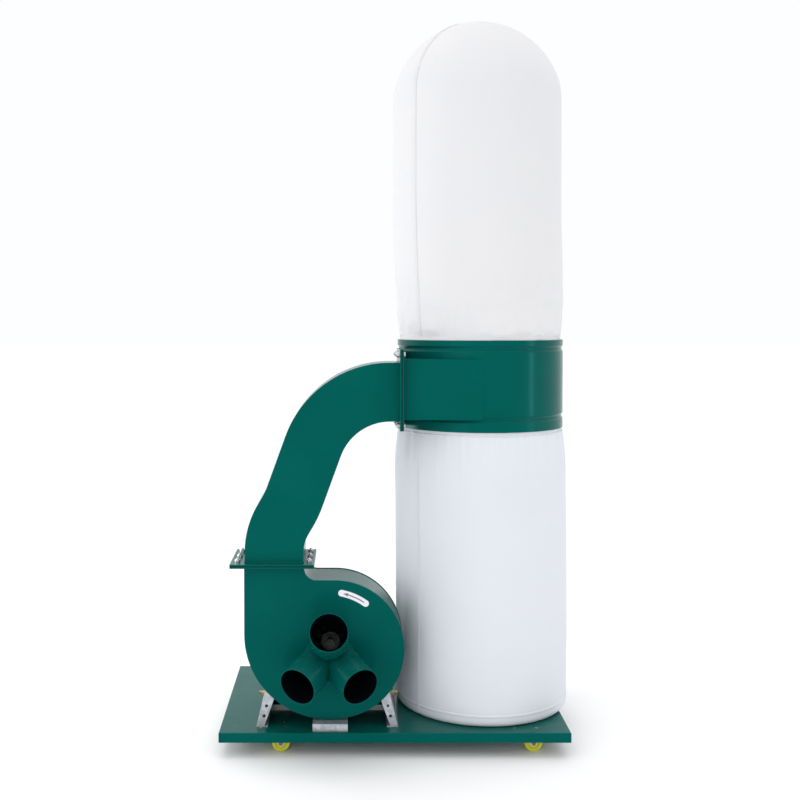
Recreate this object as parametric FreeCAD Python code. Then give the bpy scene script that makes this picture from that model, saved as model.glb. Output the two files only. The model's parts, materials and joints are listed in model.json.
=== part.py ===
import FreeCAD, Part
import math
import os

# Single-bag portable dust collector. Millimetres, +Z up, +Y towards the back.
# Everything is drawn about the point on the floor under the tray's centre, and each node
# is moved by ORIGIN_SHIFT as it is written, which puts the origin under the object's middle.
ORIGIN_SHIFT = FreeCAD.Vector(-15.0, 55.0, 0.0)

# Base tray: folded sheet on casters
TRAY_LENGTH = 950.0
TRAY_DEPTH = 560.0
TRAY_TOP = 70.0
TRAY_SHEET = 2.5
TRAY_LIP = 26.0

# Casters: swivelling, plain bored wheels
WHEEL_R = 25.0
WHEEL_HALF_WIDTH = 10.0
WHEEL_AXLE_R = 4.0
CASTER_TRAIL = 24.0
CASTER_LEFT_X = -334.0
CASTER_RIGHT_X = 357.0
CASTER_INSET_Y = 60.0
CASTER_PLATE_SHEET = 3.0
CASTER_PLATE_HALF = (40.0, 32.0)
CASTER_HOLE_HALF = (30.0, 22.0)
CASTER_RACE_R = 19.0
CASTER_RACE_HEIGHT = 4.0
CASTER_GAP = 0.3
CASTER_PIN_R = 5.0
CASTER_PIN_HEAD_R = 8.0
CASTER_CROWN_R = 21.0
CASTER_HUB_R = 9.0
CASTER_NAMES = ("front_left", "front_right", "rear_left", "rear_right")

# Fasteners
M8_R = 4.0
M8_HOLE_R = 4.5
M8_HEAD_FLATS = 13.0
M8_HEAD_HEIGHT = 5.3
M8_NUT_HEIGHT = 6.5

# Fan axis and casing
FAN_X = -176.0
FAN_Z = 273.0
CASING_FRONT = -240.0
CASING_BACK = -90.0
CASING_SHEET = 2.5
SCROLL_X = -162.0
SCROLL_Z = 284.0
SCROLL_R = 189.0
SCROLL_CHANGE_DEG = -70.0
OUTLET_LEFT = -409.0
OUTLET_RIGHT = -246.0
OUTLET_TOP = 510.0
TONGUE_R = 34.0
WALL_SETBACK = 1.5
LABEL_R = (159.0, 177.0)
LABEL_DEG = (54.5, 79.0)
BRACKET_X = (-222.0, -127.0)
BRACKET_Y = (-268.0, -150.0)
BRACKET_TOP = 90.0

# Flanges between casing, duct and ring
FLANGE_SHEET = 4.0
GASKET_SHEET = 3.0
FLANGE_SIDE = 28.0
FLANGE_OUTER_SIDE = 37.0
FLANGE_FRONT = 25.0
FLANGE_BOLT_PITCH = 65.0
RING_FLANGE_ABOVE = 36.0
RING_FLANGE_BELOW = 24.0

# Three hose inlets, welded to the casing front
INLET_R = 51.0
INLET_SHEET = 1.5
INLET_SPLAY_DEG = 32.0
INLET_REACH = 129.0
INLET_MOUTH_OFFSET = 95.0
INLET_FREE = 60.0
INLET_BEAD = 1.2
INLET_BEAD_WIDTH = 3.0
INLET_ANGLES = {"top": 90.0, "left": 210.0, "right": 330.0}

# Impeller
IMPELLER_R = 150.0
IMPELLER_DISC_Y = -112.0
IMPELLER_SHEET = 4.0
BLADE_DEPTH = 95.0
BLADE_COUNT = 8
BLADE_SHEET = 3.0
BLADE_EYE_R = 80.0
BLADE_ROOT_FRONT = -130.0
HUB_R = 26.0
HUB_FRONT = -126.0
HUB_FLANGE_R = 38.0
SHAFT_NOSE_R = 12.0
SCREW_FRONT = -152.0
SCREW_R = 8.0

# Motor: size 90 foot-mounted frame
MOTOR_R = 88.0
MOTOR_WALL = 8.0
MOTOR_FIN = 8.0
MOTOR_FIN_COUNT = 32
MOTOR_FOOT = 12.0
MOTOR_FRONT = -62.0
MOTOR_BACK = 150.0
SHAFT_R = 14.0
JOURNAL_R = 12.5
FAN_SEAT_R = 10.0
WINDING_R = (72.0, 50.0)
WINDING_LENGTH = 24.0
BEARING_R = 26.0
BEARING_WIDTH = 15.0
RUNNING = 0.05
AIR_GAP = 0.5
STATOR_BORE = 46.0
CORE_FRONT = -20.0
CORE_BACK = 100.0
COWL_BACK = 232.0

# Stand under the casing and the motor
STAND_X = -183.0
STAND_HALF_FOOT = 193.0
STAND_LEAN_DEG = 14.0
STAND_SHEET = 3.0
STAND_FRONT = -236.0
STAND_BACK = 165.0
STAND_TOP = 183.0
STAND_FLANGE = 20.0
STAND_FLANGE_TOP = 32.0
STAND_FOOT = 30.0
STAND_FOOT_BOLT = 19.0
APRON_CLEARANCE = 8.0
STAND_BOLT_INSET = (64.0, 30.0)
STAND_FRONT_HOLES = (30.0, 58.0)
LEG_BOLT_Z = (104.0, 152.0)

# Duct: square section, a swan neck of straights and bends (turn in degrees, + to the left)
DUCT_HALF = 80.0
DUCT_SHEET = 2.0
DUCT_PATH = (
    ("straight", 27.0),
    ("turn", -31.0, 180.0),
    ("straight", 19.0),
    ("turn", 11.0, 250.0),
    ("straight", 147.0),
    ("turn", -70.0, 223.0),
    ("straight", 25.0),
)

# Separator ring and bags
RING_X = 259.0
RING_R = 240.0
RING_SHEET = 2.0
RING_BOTTOM = 874.0
RING_TOP = 1125.0
GROOVE_DEPTH = 4.0
GROOVE_HALF = 8.0
GROOVE_ABOVE_BOTTOM = 34.0
GROOVE_BELOW_TOP = 24.0
BOX_REACH = 16.0
RING_BOX_BELOW = 76.0
RING_BOX_ABOVE = 89.0
BAG_R = 244.0
COLLECTION_R = 246.0
BAG_NECK = 22.0
BAG_WALL = 3.0
BAG_HEM_R = 237.6
BAG_HEM_HEIGHT = 12.0
BAG_BOTTOM = 70.4
BAG_CORNER = 20.0
BAG_SHOULDER_Z = 1825.0
BAG_SHOULDER_R = 170.0
BAG_TOP = 2045.0
HOOP_SHEET = 1.2
HOOP_GAP = 0.3

UP = FreeCAD.Vector(0, 0, 1)
BACK = FreeCAD.Vector(0, 1, 0)
RIGHT = FreeCAD.Vector(1, 0, 0)
nodes = {}
caster_plates = []


def vec(x, y, z):
    return FreeCAD.Vector(x, y, z)


def block(x0, x1, y0, y1, z0, z1):
    """A box between two corners."""
    return Part.makeBox(x1 - x0, y1 - y0, z1 - z0, vec(x0, y0, z0))


def rod(base, direction, radius, length):
    return Part.makeCylinder(radius, length, base, direction)


def pipe(base, direction, outer, inner, length):
    return rod(base, direction, outer, length).cut(rod(base, direction, inner, length))


def along_y(radius, y0, y1, x=FAN_X, z=FAN_Z):
    """A cylinder parallel to Y, about the fan axis unless told otherwise."""
    return rod(vec(x, y0, z), BACK, radius, y1 - y0)


def ring_y(outer, inner, y0, y1):
    return along_y(outer, y0, y1).cut(along_y(inner, y0, y1))


def prism(wire, y0, y1):
    """The outline in the XZ plane, drawn out along Y."""
    face = Part.Face(wire)
    face.translate(vec(0, y0, 0))
    return face.extrude(vec(0, y1 - y0, 0))


def polygon(points):
    """A closed outline in the XZ plane."""
    corners = [vec(x, 0, z) for x, z in points]
    return Part.makePolygon(corners + corners[:1])


def revolved(edges, x, y):
    """A closed outline in the XZ plane, with X as the radius, turned about a vertical axis."""
    solid = Part.Face(Part.Wire(edges)).revolve(vec(0, 0, 0), UP, 360)
    solid.translate(vec(x, y, 0))
    return solid


def line(a, b):
    return Part.makeLine(vec(a[0], 0, a[1]), vec(b[0], 0, b[1]))


def arc(centre, radius, start_deg, end_deg):
    """An arc in the XZ plane, passing through the angle half way from start to end."""
    points = []
    for degrees in (start_deg, (start_deg + end_deg) / 2, end_deg):
        angle = math.radians(degrees)
        points.append(vec(centre[0] + radius * math.cos(angle), 0, centre[1] + radius * math.sin(angle)))
    return Part.Arc(*points).toShape()


def hexagon(base, direction, flats, height):
    """A hexagonal prism standing on base."""
    across = flats / math.sqrt(3)
    corners = [vec(across * math.cos(math.radians(60 * i)), across * math.sin(math.radians(60 * i)), 0)
               for i in range(6)]
    prism_shape = Part.Face(Part.makePolygon(corners + corners[:1])).extrude(vec(0, 0, height))
    prism_shape.Placement = FreeCAD.Placement(base, FreeCAD.Rotation(UP, direction))
    return prism_shape


def bolt(seat, direction, grip, tail=0.0):
    """An M8 hexagon bolt: head on seat, shank along direction through grip, and a nut beyond.

    With no tail it is a screw that ends at the far face, and has no nut.
    """
    head = hexagon(seat - direction * M8_HEAD_HEIGHT, direction, M8_HEAD_FLATS, M8_HEAD_HEIGHT)
    if tail <= 0:
        return head.fuse(rod(seat, direction, M8_R, grip))
    shank = rod(seat, direction, M8_R, grip + M8_NUT_HEIGHT + tail)
    nut = hexagon(seat + direction * grip, direction, M8_HEAD_FLATS, M8_NUT_HEIGHT)
    return head.fuse([shank, nut]).removeSplitter()


def group(shapes):
    return Part.makeCompound(shapes)


def fused(first, *others):
    return first.fuse(list(others)).removeSplitter()


# ---------------------------------------------------------------- base tray

def caster_places():
    half = TRAY_DEPTH / 2 - CASTER_INSET_Y
    for name in CASTER_NAMES:
        x = CASTER_LEFT_X if name.endswith("left") else CASTER_RIGHT_X
        y = -half if name.startswith("front") else half
        yield name, x, y


def caster_bolt_places():
    for _, x, y in caster_places():
        for sx in (-1, 1):
            for sy in (-1, 1):
                yield vec(x + sx * CASTER_HOLE_HALF[0], y + sy * CASTER_HOLE_HALF[1], 0)


def stand_bolt_places():
    middle = (STAND_FRONT + STAND_BACK) / 2
    for side in (-1, 1):
        for y in (STAND_FRONT + STAND_BOLT_INSET[0], middle, STAND_BACK - STAND_BOLT_INSET[1]):
            yield vec(STAND_X + side * (STAND_HALF_FOOT - STAND_FOOT_BOLT), y, 0)


def make_tray():
    half_x = TRAY_LENGTH / 2
    half_y = TRAY_DEPTH / 2
    outside = block(-half_x, half_x, -half_y, half_y, TRAY_TOP - TRAY_LIP, TRAY_TOP)
    outside = outside.makeFillet(TRAY_SHEET, [e for e in outside.Edges if on_tray_rim(e)])
    inside = block(-half_x + TRAY_SHEET, half_x - TRAY_SHEET, -half_y + TRAY_SHEET, half_y - TRAY_SHEET,
                   TRAY_TOP - TRAY_LIP - 1, TRAY_TOP - TRAY_SHEET)
    tray = outside.cut(inside)
    holes = [rod(p + UP * (TRAY_TOP - 10), UP, M8_R + RUNNING, 20) for p in caster_bolt_places()]
    holes += [rod(p + UP * (TRAY_TOP - 10), UP, M8_HOLE_R, 20) for p in stand_bolt_places()]
    nodes["base_tray"] = tray.cut(holes)


def on_tray_rim(edge):
    """True for the four top edges and the four upright corners of the tray block."""
    box = edge.BoundBox
    return box.ZMin > TRAY_TOP - 0.1 or box.ZLength > TRAY_LIP - 0.1


# ---------------------------------------------------------------- casters

def make_caster(name, x, y):
    top = TRAY_TOP - TRAY_SHEET
    under = top - CASTER_PLATE_SHEET
    race = under - CASTER_RACE_HEIGHT
    crown = race - CASTER_GAP
    crown_under = crown - CASTER_PLATE_SHEET
    pin_head = crown_under - CASTER_GAP
    half_x, half_y = CASTER_PLATE_HALF
    plate = block(x - half_x, x + half_x, y - half_y, y + half_y, under, top)
    plate = plate.makeFillet(6, [e for e in plate.Edges if e.BoundBox.ZLength > 1])
    boss = rod(vec(x, y, race), UP, CASTER_RACE_R, CASTER_RACE_HEIGHT)
    pin = rod(vec(x, y, pin_head - 2), UP, CASTER_PIN_R, under - pin_head)
    plate = fused(plate, boss, pin, rod(vec(x, y, pin_head - 2), UP, CASTER_PIN_HEAD_R, 2.0))
    for sx in (-1, 1):
        for sy in (-1, 1):
            hole = vec(x + sx * CASTER_HOLE_HALF[0], y + sy * CASTER_HOLE_HALF[1], under - 1)
            plate = plate.cut(rod(hole, UP, M8_HOLE_R, 5))
    caster_plates.append(plate)

    axle_x = x + CASTER_TRAIL
    cheek_in = WHEEL_HALF_WIDTH + 1.5
    cheek_out = cheek_in + CASTER_PLATE_SHEET
    disc = rod(vec(x, y, crown_under), UP, CASTER_CROWN_R, CASTER_PLATE_SHEET)
    cheeks = []
    for side in (-1, 1):
        y0, y1 = sorted((y + side * cheek_in, y + side * cheek_out))
        web = prism(polygon([(x - 14, crown), (x + 17, crown), (axle_x + 8.5, WHEEL_R + 3),
                             (axle_x - 8.5, WHEEL_R - 3)]), y0, y1)
        cheeks.append(web.fuse(along_y(CASTER_HUB_R, y0, y1, axle_x, WHEEL_R)))
    fork = disc.fuse(cheeks)
    fork = fork.cut([rod(vec(x, y, crown_under - 1), UP, CASTER_PIN_R + RUNNING, 10),
                     along_y(WHEEL_AXLE_R + RUNNING, y - 30, y + 30, axle_x, WHEEL_R)])
    nodes["caster_fork_" + name] = fork.removeSplitter()

    wheel = along_y(WHEEL_R, y - WHEEL_HALF_WIDTH, y + WHEEL_HALF_WIDTH, axle_x, WHEEL_R)
    wheel = wheel.makeFillet(3.0, [e for e in wheel.Edges if len(e.Vertexes) == 1])
    hub = along_y(CASTER_HUB_R, y - WHEEL_HALF_WIDTH - 1, y + WHEEL_HALF_WIDTH + 1, axle_x, WHEEL_R)
    recesses = []
    for y0, y1 in ((y - WHEEL_HALF_WIDTH - 1, y - WHEEL_HALF_WIDTH + 3),
                   (y + WHEEL_HALF_WIDTH - 3, y + WHEEL_HALF_WIDTH + 1)):
        recesses.append(along_y(17.0, y0, y1, axle_x, WHEEL_R))
    bore = along_y(WHEEL_AXLE_R + RUNNING, y - 30, y + 30, axle_x, WHEEL_R)
    nodes["caster_wheel_" + name] = wheel.cut(recesses).fuse(hub).cut(bore).removeSplitter()

    shank = along_y(WHEEL_AXLE_R, y - cheek_out, y + cheek_out, axle_x, WHEEL_R)
    head = hexagon(vec(axle_x, y - cheek_out - 4, WHEEL_R), BACK, 11.0, 4.0)
    nut = hexagon(vec(axle_x, y + cheek_out, WHEEL_R), BACK, 11.0, 5.0)
    nodes["caster_axle_" + name] = shank.fuse([head, nut]).removeSplitter()


def make_base_bolts():
    bolts = [bolt(p + UP * (TRAY_TOP - TRAY_SHEET - CASTER_PLATE_SHEET), UP, CASTER_PLATE_SHEET + TRAY_SHEET)
             for p in caster_bolt_places()]
    seat = TRAY_TOP + STAND_SHEET
    bolts += [bolt(p + UP * seat, -UP, STAND_SHEET + TRAY_SHEET, 3.0) for p in stand_bolt_places()]
    seat = STAND_TOP + MOTOR_FOOT
    bolts += [bolt(p + UP * seat, -UP, MOTOR_FOOT + STAND_SHEET, 3.0) for p in motor_bolt_places()]
    nodes["base_bolts"] = group(bolts)


# ---------------------------------------------------------------- fan casing

def scroll_outline(inset, top=OUTLET_TOP):
    """The casing's closed outline: outlet neck, tongue, then the scroll clockwise back to the neck."""
    change = math.radians(SCROLL_CHANGE_DEG)
    large_r = (SCROLL_X + SCROLL_R * math.cos(change) - OUTLET_LEFT) / (1 + math.cos(change))
    large_x = SCROLL_X + (SCROLL_R - large_r) * math.cos(change)
    large_z = SCROLL_Z + (SCROLL_R - large_r) * math.sin(change)
    crown = SCROLL_Z + SCROLL_R
    left = OUTLET_LEFT + inset
    right = OUTLET_RIGHT - inset
    tongue_x = OUTLET_RIGHT + TONGUE_R
    tongue_z = crown + TONGUE_R
    return Part.Wire([
        line((left, large_z), (left, top)),
        line((left, top), (right, top)),
        line((right, top), (right, tongue_z)),
        arc((tongue_x, tongue_z), TONGUE_R + inset, 180, 270),
        line((tongue_x, crown - inset), (SCROLL_X, crown - inset)),
        arc((SCROLL_X, SCROLL_Z), SCROLL_R - inset, 90, SCROLL_CHANGE_DEG),
        arc((large_x, large_z), large_r - inset, SCROLL_CHANGE_DEG, -180),
    ])


def make_casing():
    front = prism(scroll_outline(0), CASING_FRONT, CASING_FRONT + CASING_SHEET)
    bores = [inlet_cylinder(name, INLET_R - INLET_SHEET) for name in INLET_ANGLES]
    nodes["casing_front_plate"] = front.cut(bores)
    back = prism(scroll_outline(0), CASING_BACK - CASING_SHEET, CASING_BACK)
    nodes["casing_back_plate"] = back.cut(along_y(45.0, CASING_BACK - 10, CASING_BACK + 10))
    inner_top = OUTLET_TOP + 5
    wall_y = (CASING_FRONT + CASING_SHEET, CASING_BACK - CASING_SHEET)
    outer = prism(scroll_outline(WALL_SETBACK), *wall_y)
    nodes["scroll_wall"] = outer.cut(prism(scroll_outline(WALL_SETBACK + CASING_SHEET, inner_top), *wall_y))


def outlet_frame(z0, z1):
    """The flat rectangular frame around the casing outlet, also the duct's lower flange and its gasket."""
    inset = WALL_SETBACK + CASING_SHEET
    frame = block(OUTLET_LEFT - FLANGE_OUTER_SIDE, OUTLET_RIGHT + FLANGE_SIDE, CASING_FRONT - FLANGE_FRONT,
                  CASING_BACK + FLANGE_FRONT, z0, z1)
    opening = block(OUTLET_LEFT + inset, OUTLET_RIGHT - inset, CASING_FRONT + CASING_SHEET,
                    CASING_BACK - CASING_SHEET, z0 - 1, z1 + 1)
    holes = [rod(vec(p.x, p.y, z0 - 1), UP, M8_HOLE_R, z1 - z0 + 2) for p in outlet_bolt_places()]
    return frame.cut([opening] + holes)


def outlet_bolt_places():
    middle = (CASING_FRONT + CASING_BACK) / 2
    for x in (OUTLET_LEFT - FLANGE_OUTER_SIDE / 2, OUTLET_RIGHT + FLANGE_SIDE / 2):
        for y in (middle - FLANGE_BOLT_PITCH, middle, middle + FLANGE_BOLT_PITCH):
            yield vec(x, y, 0)
    x = (OUTLET_LEFT + OUTLET_RIGHT) / 2
    yield vec(x, CASING_BACK + FLANGE_FRONT / 2, 0)


def make_outlet_flange():
    nodes["casing_outlet_flange"] = outlet_frame(OUTLET_TOP, OUTLET_TOP + FLANGE_SHEET)


def inlet_axis(name):
    """The root point and the outward direction of one hose inlet."""
    angle = math.radians(INLET_ANGLES[name])
    splay = math.radians(INLET_SPLAY_DEG)
    out = vec(math.cos(angle), 0, math.sin(angle))
    root_offset = INLET_MOUTH_OFFSET - INLET_REACH * math.tan(splay)
    root = vec(FAN_X, CASING_FRONT, FAN_Z) + out * root_offset
    return root, out * math.sin(splay) - BACK * math.cos(splay)


def inlet_cylinder(name, radius, behind=40.0, beyond=5.0):
    root, direction = inlet_axis(name)
    length = INLET_REACH / math.cos(math.radians(INLET_SPLAY_DEG))
    return rod(root - direction * behind, direction, radius, length + behind + beyond)


def inlet_sector(name):
    """The wedge of space about the fan axis that belongs to one inlet."""
    order = sorted(INLET_ANGLES.values())
    own = INLET_ANGLES[name]
    after = order[(order.index(own) + 1) % 3]
    before = order[order.index(own) - 1]
    to_next = ((after - own) % 360) / 2
    to_last = ((own - before) % 360) / 2
    reach = 400.0
    points = [(FAN_X, FAN_Z)]
    for degrees in (own - to_last, own, own + to_next):
        angle = math.radians(degrees)
        points.append((FAN_X + reach * math.cos(angle), FAN_Z + reach * math.sin(angle)))
    return prism(polygon(points), CASING_FRONT - 250, CASING_FRONT)


def make_inlets():
    bores = [inlet_cylinder(name, INLET_R - INLET_SHEET) for name in INLET_ANGLES]
    for name in INLET_ANGLES:
        root, direction = inlet_axis(name)
        length = INLET_REACH / math.cos(math.radians(INLET_SPLAY_DEG))
        tube = inlet_cylinder(name, INLET_R, beyond=0.0)
        bead_from = root + direction * (length - INLET_FREE - INLET_BEAD_WIDTH)
        tube = tube.fuse(rod(bead_from, direction, INLET_R + INLET_BEAD, INLET_BEAD_WIDTH))
        tube = tube.common(inlet_sector(name))
        nodes["inlet_tube_" + name] = tube.cut(bores)


def make_direction_label():
    """A blank curved badge on the casing front, concentric with the fan."""
    inner, outer = LABEL_R
    start, end = LABEL_DEG
    middle_r = (inner + outer) / 2
    cap_r = (outer - inner) / 2
    centre = (FAN_X, FAN_Z)
    edges = [arc(centre, outer, start, end)]
    caps = []
    for degrees in (end, start):
        angle = math.radians(degrees)
        caps.append((FAN_X + middle_r * math.cos(angle), FAN_Z + middle_r * math.sin(angle)))
    edges.append(arc(caps[0], cap_r, end, end + 180))
    edges.append(arc(centre, inner, end, start))
    edges.append(arc(caps[1], cap_r, start + 180, start + 360))
    nodes["direction_label"] = prism(Part.Wire(edges), CASING_FRONT - 0.5, CASING_FRONT)


# ---------------------------------------------------------------- impeller and shaft

def make_impeller():
    disc_back = IMPELLER_DISC_Y + IMPELLER_SHEET
    disc = ring_y(IMPELLER_R, HUB_R, IMPELLER_DISC_Y, disc_back)
    nodes["impeller_disc"] = disc
    blades = []
    blade_front = IMPELLER_DISC_Y - BLADE_DEPTH
    root = HUB_R + 0.5
    tip = IMPELLER_R - 1
    for i in range(BLADE_COUNT):
        outline = [(root, IMPELLER_DISC_Y), (tip, IMPELLER_DISC_Y), (tip, blade_front),
                   (BLADE_EYE_R, blade_front), (root, BLADE_ROOT_FRONT)]
        corners = [vec(FAN_X + radius, y, FAN_Z - BLADE_SHEET / 2) for radius, y in outline]
        blade = Part.Face(Part.makePolygon(corners + corners[:1])).extrude(vec(0, 0, BLADE_SHEET))
        blade.rotate(vec(FAN_X, 0, FAN_Z), BACK, 360.0 * i / BLADE_COUNT)
        blades.append(blade)
    nodes["impeller_blades"] = group(blades)
    hub = fused(along_y(HUB_R, HUB_FRONT, disc_back), along_y(HUB_FLANGE_R, disc_back, disc_back + 6))
    nodes["impeller_hub"] = hub.cut(along_y(SHAFT_NOSE_R, HUB_FRONT - 1, 0))
    nodes["hub_washer"] = ring_y(20.0, SCREW_R, HUB_FRONT - 3, HUB_FRONT)
    screw = hexagon(vec(FAN_X, SCREW_FRONT, FAN_Z), BACK, 24.0, 10.0)
    nodes["hub_screw"] = screw.fuse(along_y(SCREW_R, SCREW_FRONT + 10, HUB_FRONT + 6)).removeSplitter()


def make_shaft():
    """Stepped from the impeller's nose through both bearings to the cooling fan's seat."""
    parts = [along_y(JOURNAL_R, -88.0, -55.0), along_y(SHAFT_R, -55.0, 140.0),
             along_y(JOURNAL_R, 140.0, 170.0), along_y(FAN_SEAT_R, 170.0, 212.0)]
    nose = along_y(SHAFT_NOSE_R, HUB_FRONT + 6, -88.0)
    nodes["motor_shaft"] = nose.fuse(parts).removeSplitter()


# ---------------------------------------------------------------- motor

def make_motor():
    cradle = MOTOR_R - MOTOR_WALL
    frame = along_y(MOTOR_R, MOTOR_FRONT, MOTOR_BACK)
    fins = []
    for i in range(MOTOR_FIN_COUNT):
        degrees = 360.0 * (i + 0.5) / MOTOR_FIN_COUNT
        if 58 < degrees < 122 or 232 < degrees < 308:
            continue
        fin = block(FAN_X + MOTOR_R - 2, FAN_X + MOTOR_R + MOTOR_FIN, MOTOR_FRONT + 12, MOTOR_BACK - 12,
                    FAN_Z - 1.5, FAN_Z + 1.5)
        fin.rotate(vec(FAN_X, 0, FAN_Z), BACK, -degrees)
        fins.append(fin)
    feet = []
    for side in (-1, 1):
        x0, x1 = sorted((FAN_X + side * 50, FAN_X + side * 92))
        feet.append(block(x0, x1, MOTOR_FRONT + 30, MOTOR_BACK - 30, STAND_TOP, STAND_TOP + MOTOR_FOOT))
        w0, w1 = sorted((FAN_X + side * 52, FAN_X + side * 66))
        feet.append(block(w0, w1, MOTOR_FRONT + 30, MOTOR_BACK - 30, STAND_TOP, FAN_Z - 60))
    saddle = block(FAN_X - 34, FAN_X + 34, 4, 84, FAN_Z + MOTOR_R - 12, FAN_Z + MOTOR_R + 8)
    frame = frame.fuse(fins + feet + [saddle])
    frame = frame.cut([along_y(cradle, MOTOR_FRONT - 1, MOTOR_BACK + 1),
                       block(FAN_X - 20, FAN_X + 20, 20, 68, FAN_Z + 60, FAN_Z + MOTOR_R + 10)])
    frame = frame.cut([rod(p + UP * (STAND_TOP - 1), UP, M8_HOLE_R, 14) for p in motor_bolt_places()])
    nodes["motor_frame"] = frame.removeSplitter()

    shield = fused(ring_y(MOTOR_R, BEARING_R, -89.8, MOTOR_FRONT),
                   ring_y(cradle - 0.2, 62.0, MOTOR_FRONT, MOTOR_FRONT + 6))
    nodes["drive_end_shield"] = shield.cut(ring_y(72.0, 36.0, -70.0, MOTOR_FRONT + 1))
    rear = fused(ring_y(MOTOR_R, BEARING_R, MOTOR_BACK, MOTOR_BACK + 18),
                 ring_y(cradle - 0.2, 62.0, MOTOR_BACK - 6, MOTOR_BACK))
    nodes["rear_end_shield"] = rear.cut(ring_y(72.0, 36.0, MOTOR_BACK - 1, MOTOR_BACK + 10))
    bearings = [ring_y(BEARING_R, JOURNAL_R + RUNNING, -79.0, -79.0 + BEARING_WIDTH),
                ring_y(BEARING_R, JOURNAL_R + RUNNING, MOTOR_BACK + 1, MOTOR_BACK + 1 + BEARING_WIDTH)]
    nodes["motor_bearings"] = group(bearings)
    nodes["stator_core"] = ring_y(cradle - 0.1, STATOR_BORE + AIR_GAP, CORE_FRONT, CORE_BACK)
    windings = [ring_y(*WINDING_R, CORE_FRONT - WINDING_LENGTH, CORE_FRONT),
                ring_y(*WINDING_R, CORE_BACK, CORE_BACK + WINDING_LENGTH)]
    nodes["stator_windings"] = group(windings)
    nodes["rotor_core"] = ring_y(STATOR_BORE, SHAFT_R, CORE_FRONT, CORE_BACK)
    make_motor_fan()
    make_terminal_box()


def motor_bolt_places():
    for side in (-1, 1):
        for y in (MOTOR_FRONT + 45, MOTOR_BACK - 45):
            yield vec(FAN_X + side * 80, y, 0)


def make_motor_fan():
    hub_y = (174.0, 206.0)
    fan = ring_y(20.0, FAN_SEAT_R, *hub_y).fuse(ring_y(72.0, 19.0, 178.0, 181.0))
    vanes = []
    for i in range(7):
        vane = block(FAN_X + 24, FAN_X + 72, 180.0, 204.0, FAN_Z - 1.5, FAN_Z + 1.5)
        vane.rotate(vec(FAN_X, 0, FAN_Z), BACK, 360.0 * i / 7)
        vanes.append(vane)
    nodes["cooling_fan"] = fan.fuse(vanes).removeSplitter()

    cowl_r = MOTOR_R + 1.7
    sheet = 1.5
    cowl = along_y(cowl_r, MOTOR_BACK + 4, COWL_BACK)
    cowl = cowl.makeFillet(14.0, [e for e in cowl.Edges if e.BoundBox.YMin > COWL_BACK - 1])
    hollow = along_y(cowl_r - sheet, MOTOR_BACK + 3, COWL_BACK - sheet)
    hollow = hollow.makeFillet(12.5, [e for e in hollow.Edges if e.BoundBox.YMin > COWL_BACK - sheet - 1])
    cowl = cowl.cut(hollow)
    slots = []
    for outer, inner in ((68.0, 60.0), (54.0, 46.0), (40.0, 32.0), (26.0, 18.0)):
        slots.append(ring_y(outer, inner, COWL_BACK - 4, COWL_BACK + 1))
    bars = [block(FAN_X - 75, FAN_X + 75, COWL_BACK - 5, COWL_BACK + 2, FAN_Z - 4, FAN_Z + 4)]
    bars.append(block(FAN_X - 4, FAN_X + 4, COWL_BACK - 5, COWL_BACK + 2, FAN_Z - 75, FAN_Z + 75))
    for bar in bars:
        slots = [slot.cut(bar) for slot in slots]
    nodes["fan_cowl"] = cowl.cut(slots).removeSplitter()


def make_terminal_box():
    floor = FAN_Z + MOTOR_R + 8
    x0, x1 = FAN_X - 48, FAN_X + 48
    y0, y1 = -4.0, 92.0
    outside = block(x0, x1, y0, y1, floor, floor + 42)
    outside = outside.makeFillet(6.0, [e for e in outside.Edges if e.BoundBox.ZLength > 10])
    inside = block(x0 + 3, x1 - 3, y0 + 3, y1 - 3, floor + 3, floor + 50)
    gland_hole = rod(vec(x1 - 10, 44.0, floor + 20), RIGHT, 10.0, 20.0)
    wire_hole = block(FAN_X - 20, FAN_X + 20, 20, 68, floor - 1, floor + 4)
    button_y = (26.0, 62.0)
    nodes["terminal_box"] = outside.cut([inside, gland_hole, wire_hole])
    lid = block(x0 - 1, x1 + 1, y0 - 1, y1 + 1, floor + 42, floor + 48)
    lid = lid.makeFillet(5.0, [e for e in lid.Edges if e.BoundBox.ZLength > 5])
    lid = lid.cut([rod(vec(FAN_X, y, floor + 40), UP, 11.0 + 0.4, 10) for y in button_y])
    nodes["terminal_box_lid"] = lid
    for name, y in zip(("start_button", "stop_button"), button_y):
        cap = rod(vec(FAN_X, y, floor + 36), UP, 11.0, 18.0)
        cap = cap.makeFillet(1.5, [e for e in cap.Edges if e.BoundBox.ZMin > floor + 53])
        collar = rod(vec(FAN_X, y, floor + 38.7), UP, 13.0, 3.0)
        nodes[name] = cap.fuse(collar).removeSplitter()
    gland = rod(vec(x1 - 6, 44.0, floor + 20), RIGHT, 10.0, 12.0)
    gland_body = hexagon(vec(x1, 44.0, floor + 20), RIGHT, 24.0, 8.0)
    nose = rod(vec(x1 + 8, 44.0, floor + 20), RIGHT, 10.5, 14.0)
    way = rod(vec(x1 - 8, 44.0, floor + 20), RIGHT, 4.5, 40.0)
    nodes["cable_gland"] = gland.fuse([gland_body, nose]).cut(way).removeSplitter()


# ---------------------------------------------------------------- stand

def stand_web_x(z, side):
    """X of the outer face of a leaning side plate at height z."""
    lean = math.tan(math.radians(STAND_LEAN_DEG))
    return STAND_X + side * (STAND_HALF_FOOT - (z - TRAY_TOP) * lean)


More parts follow.
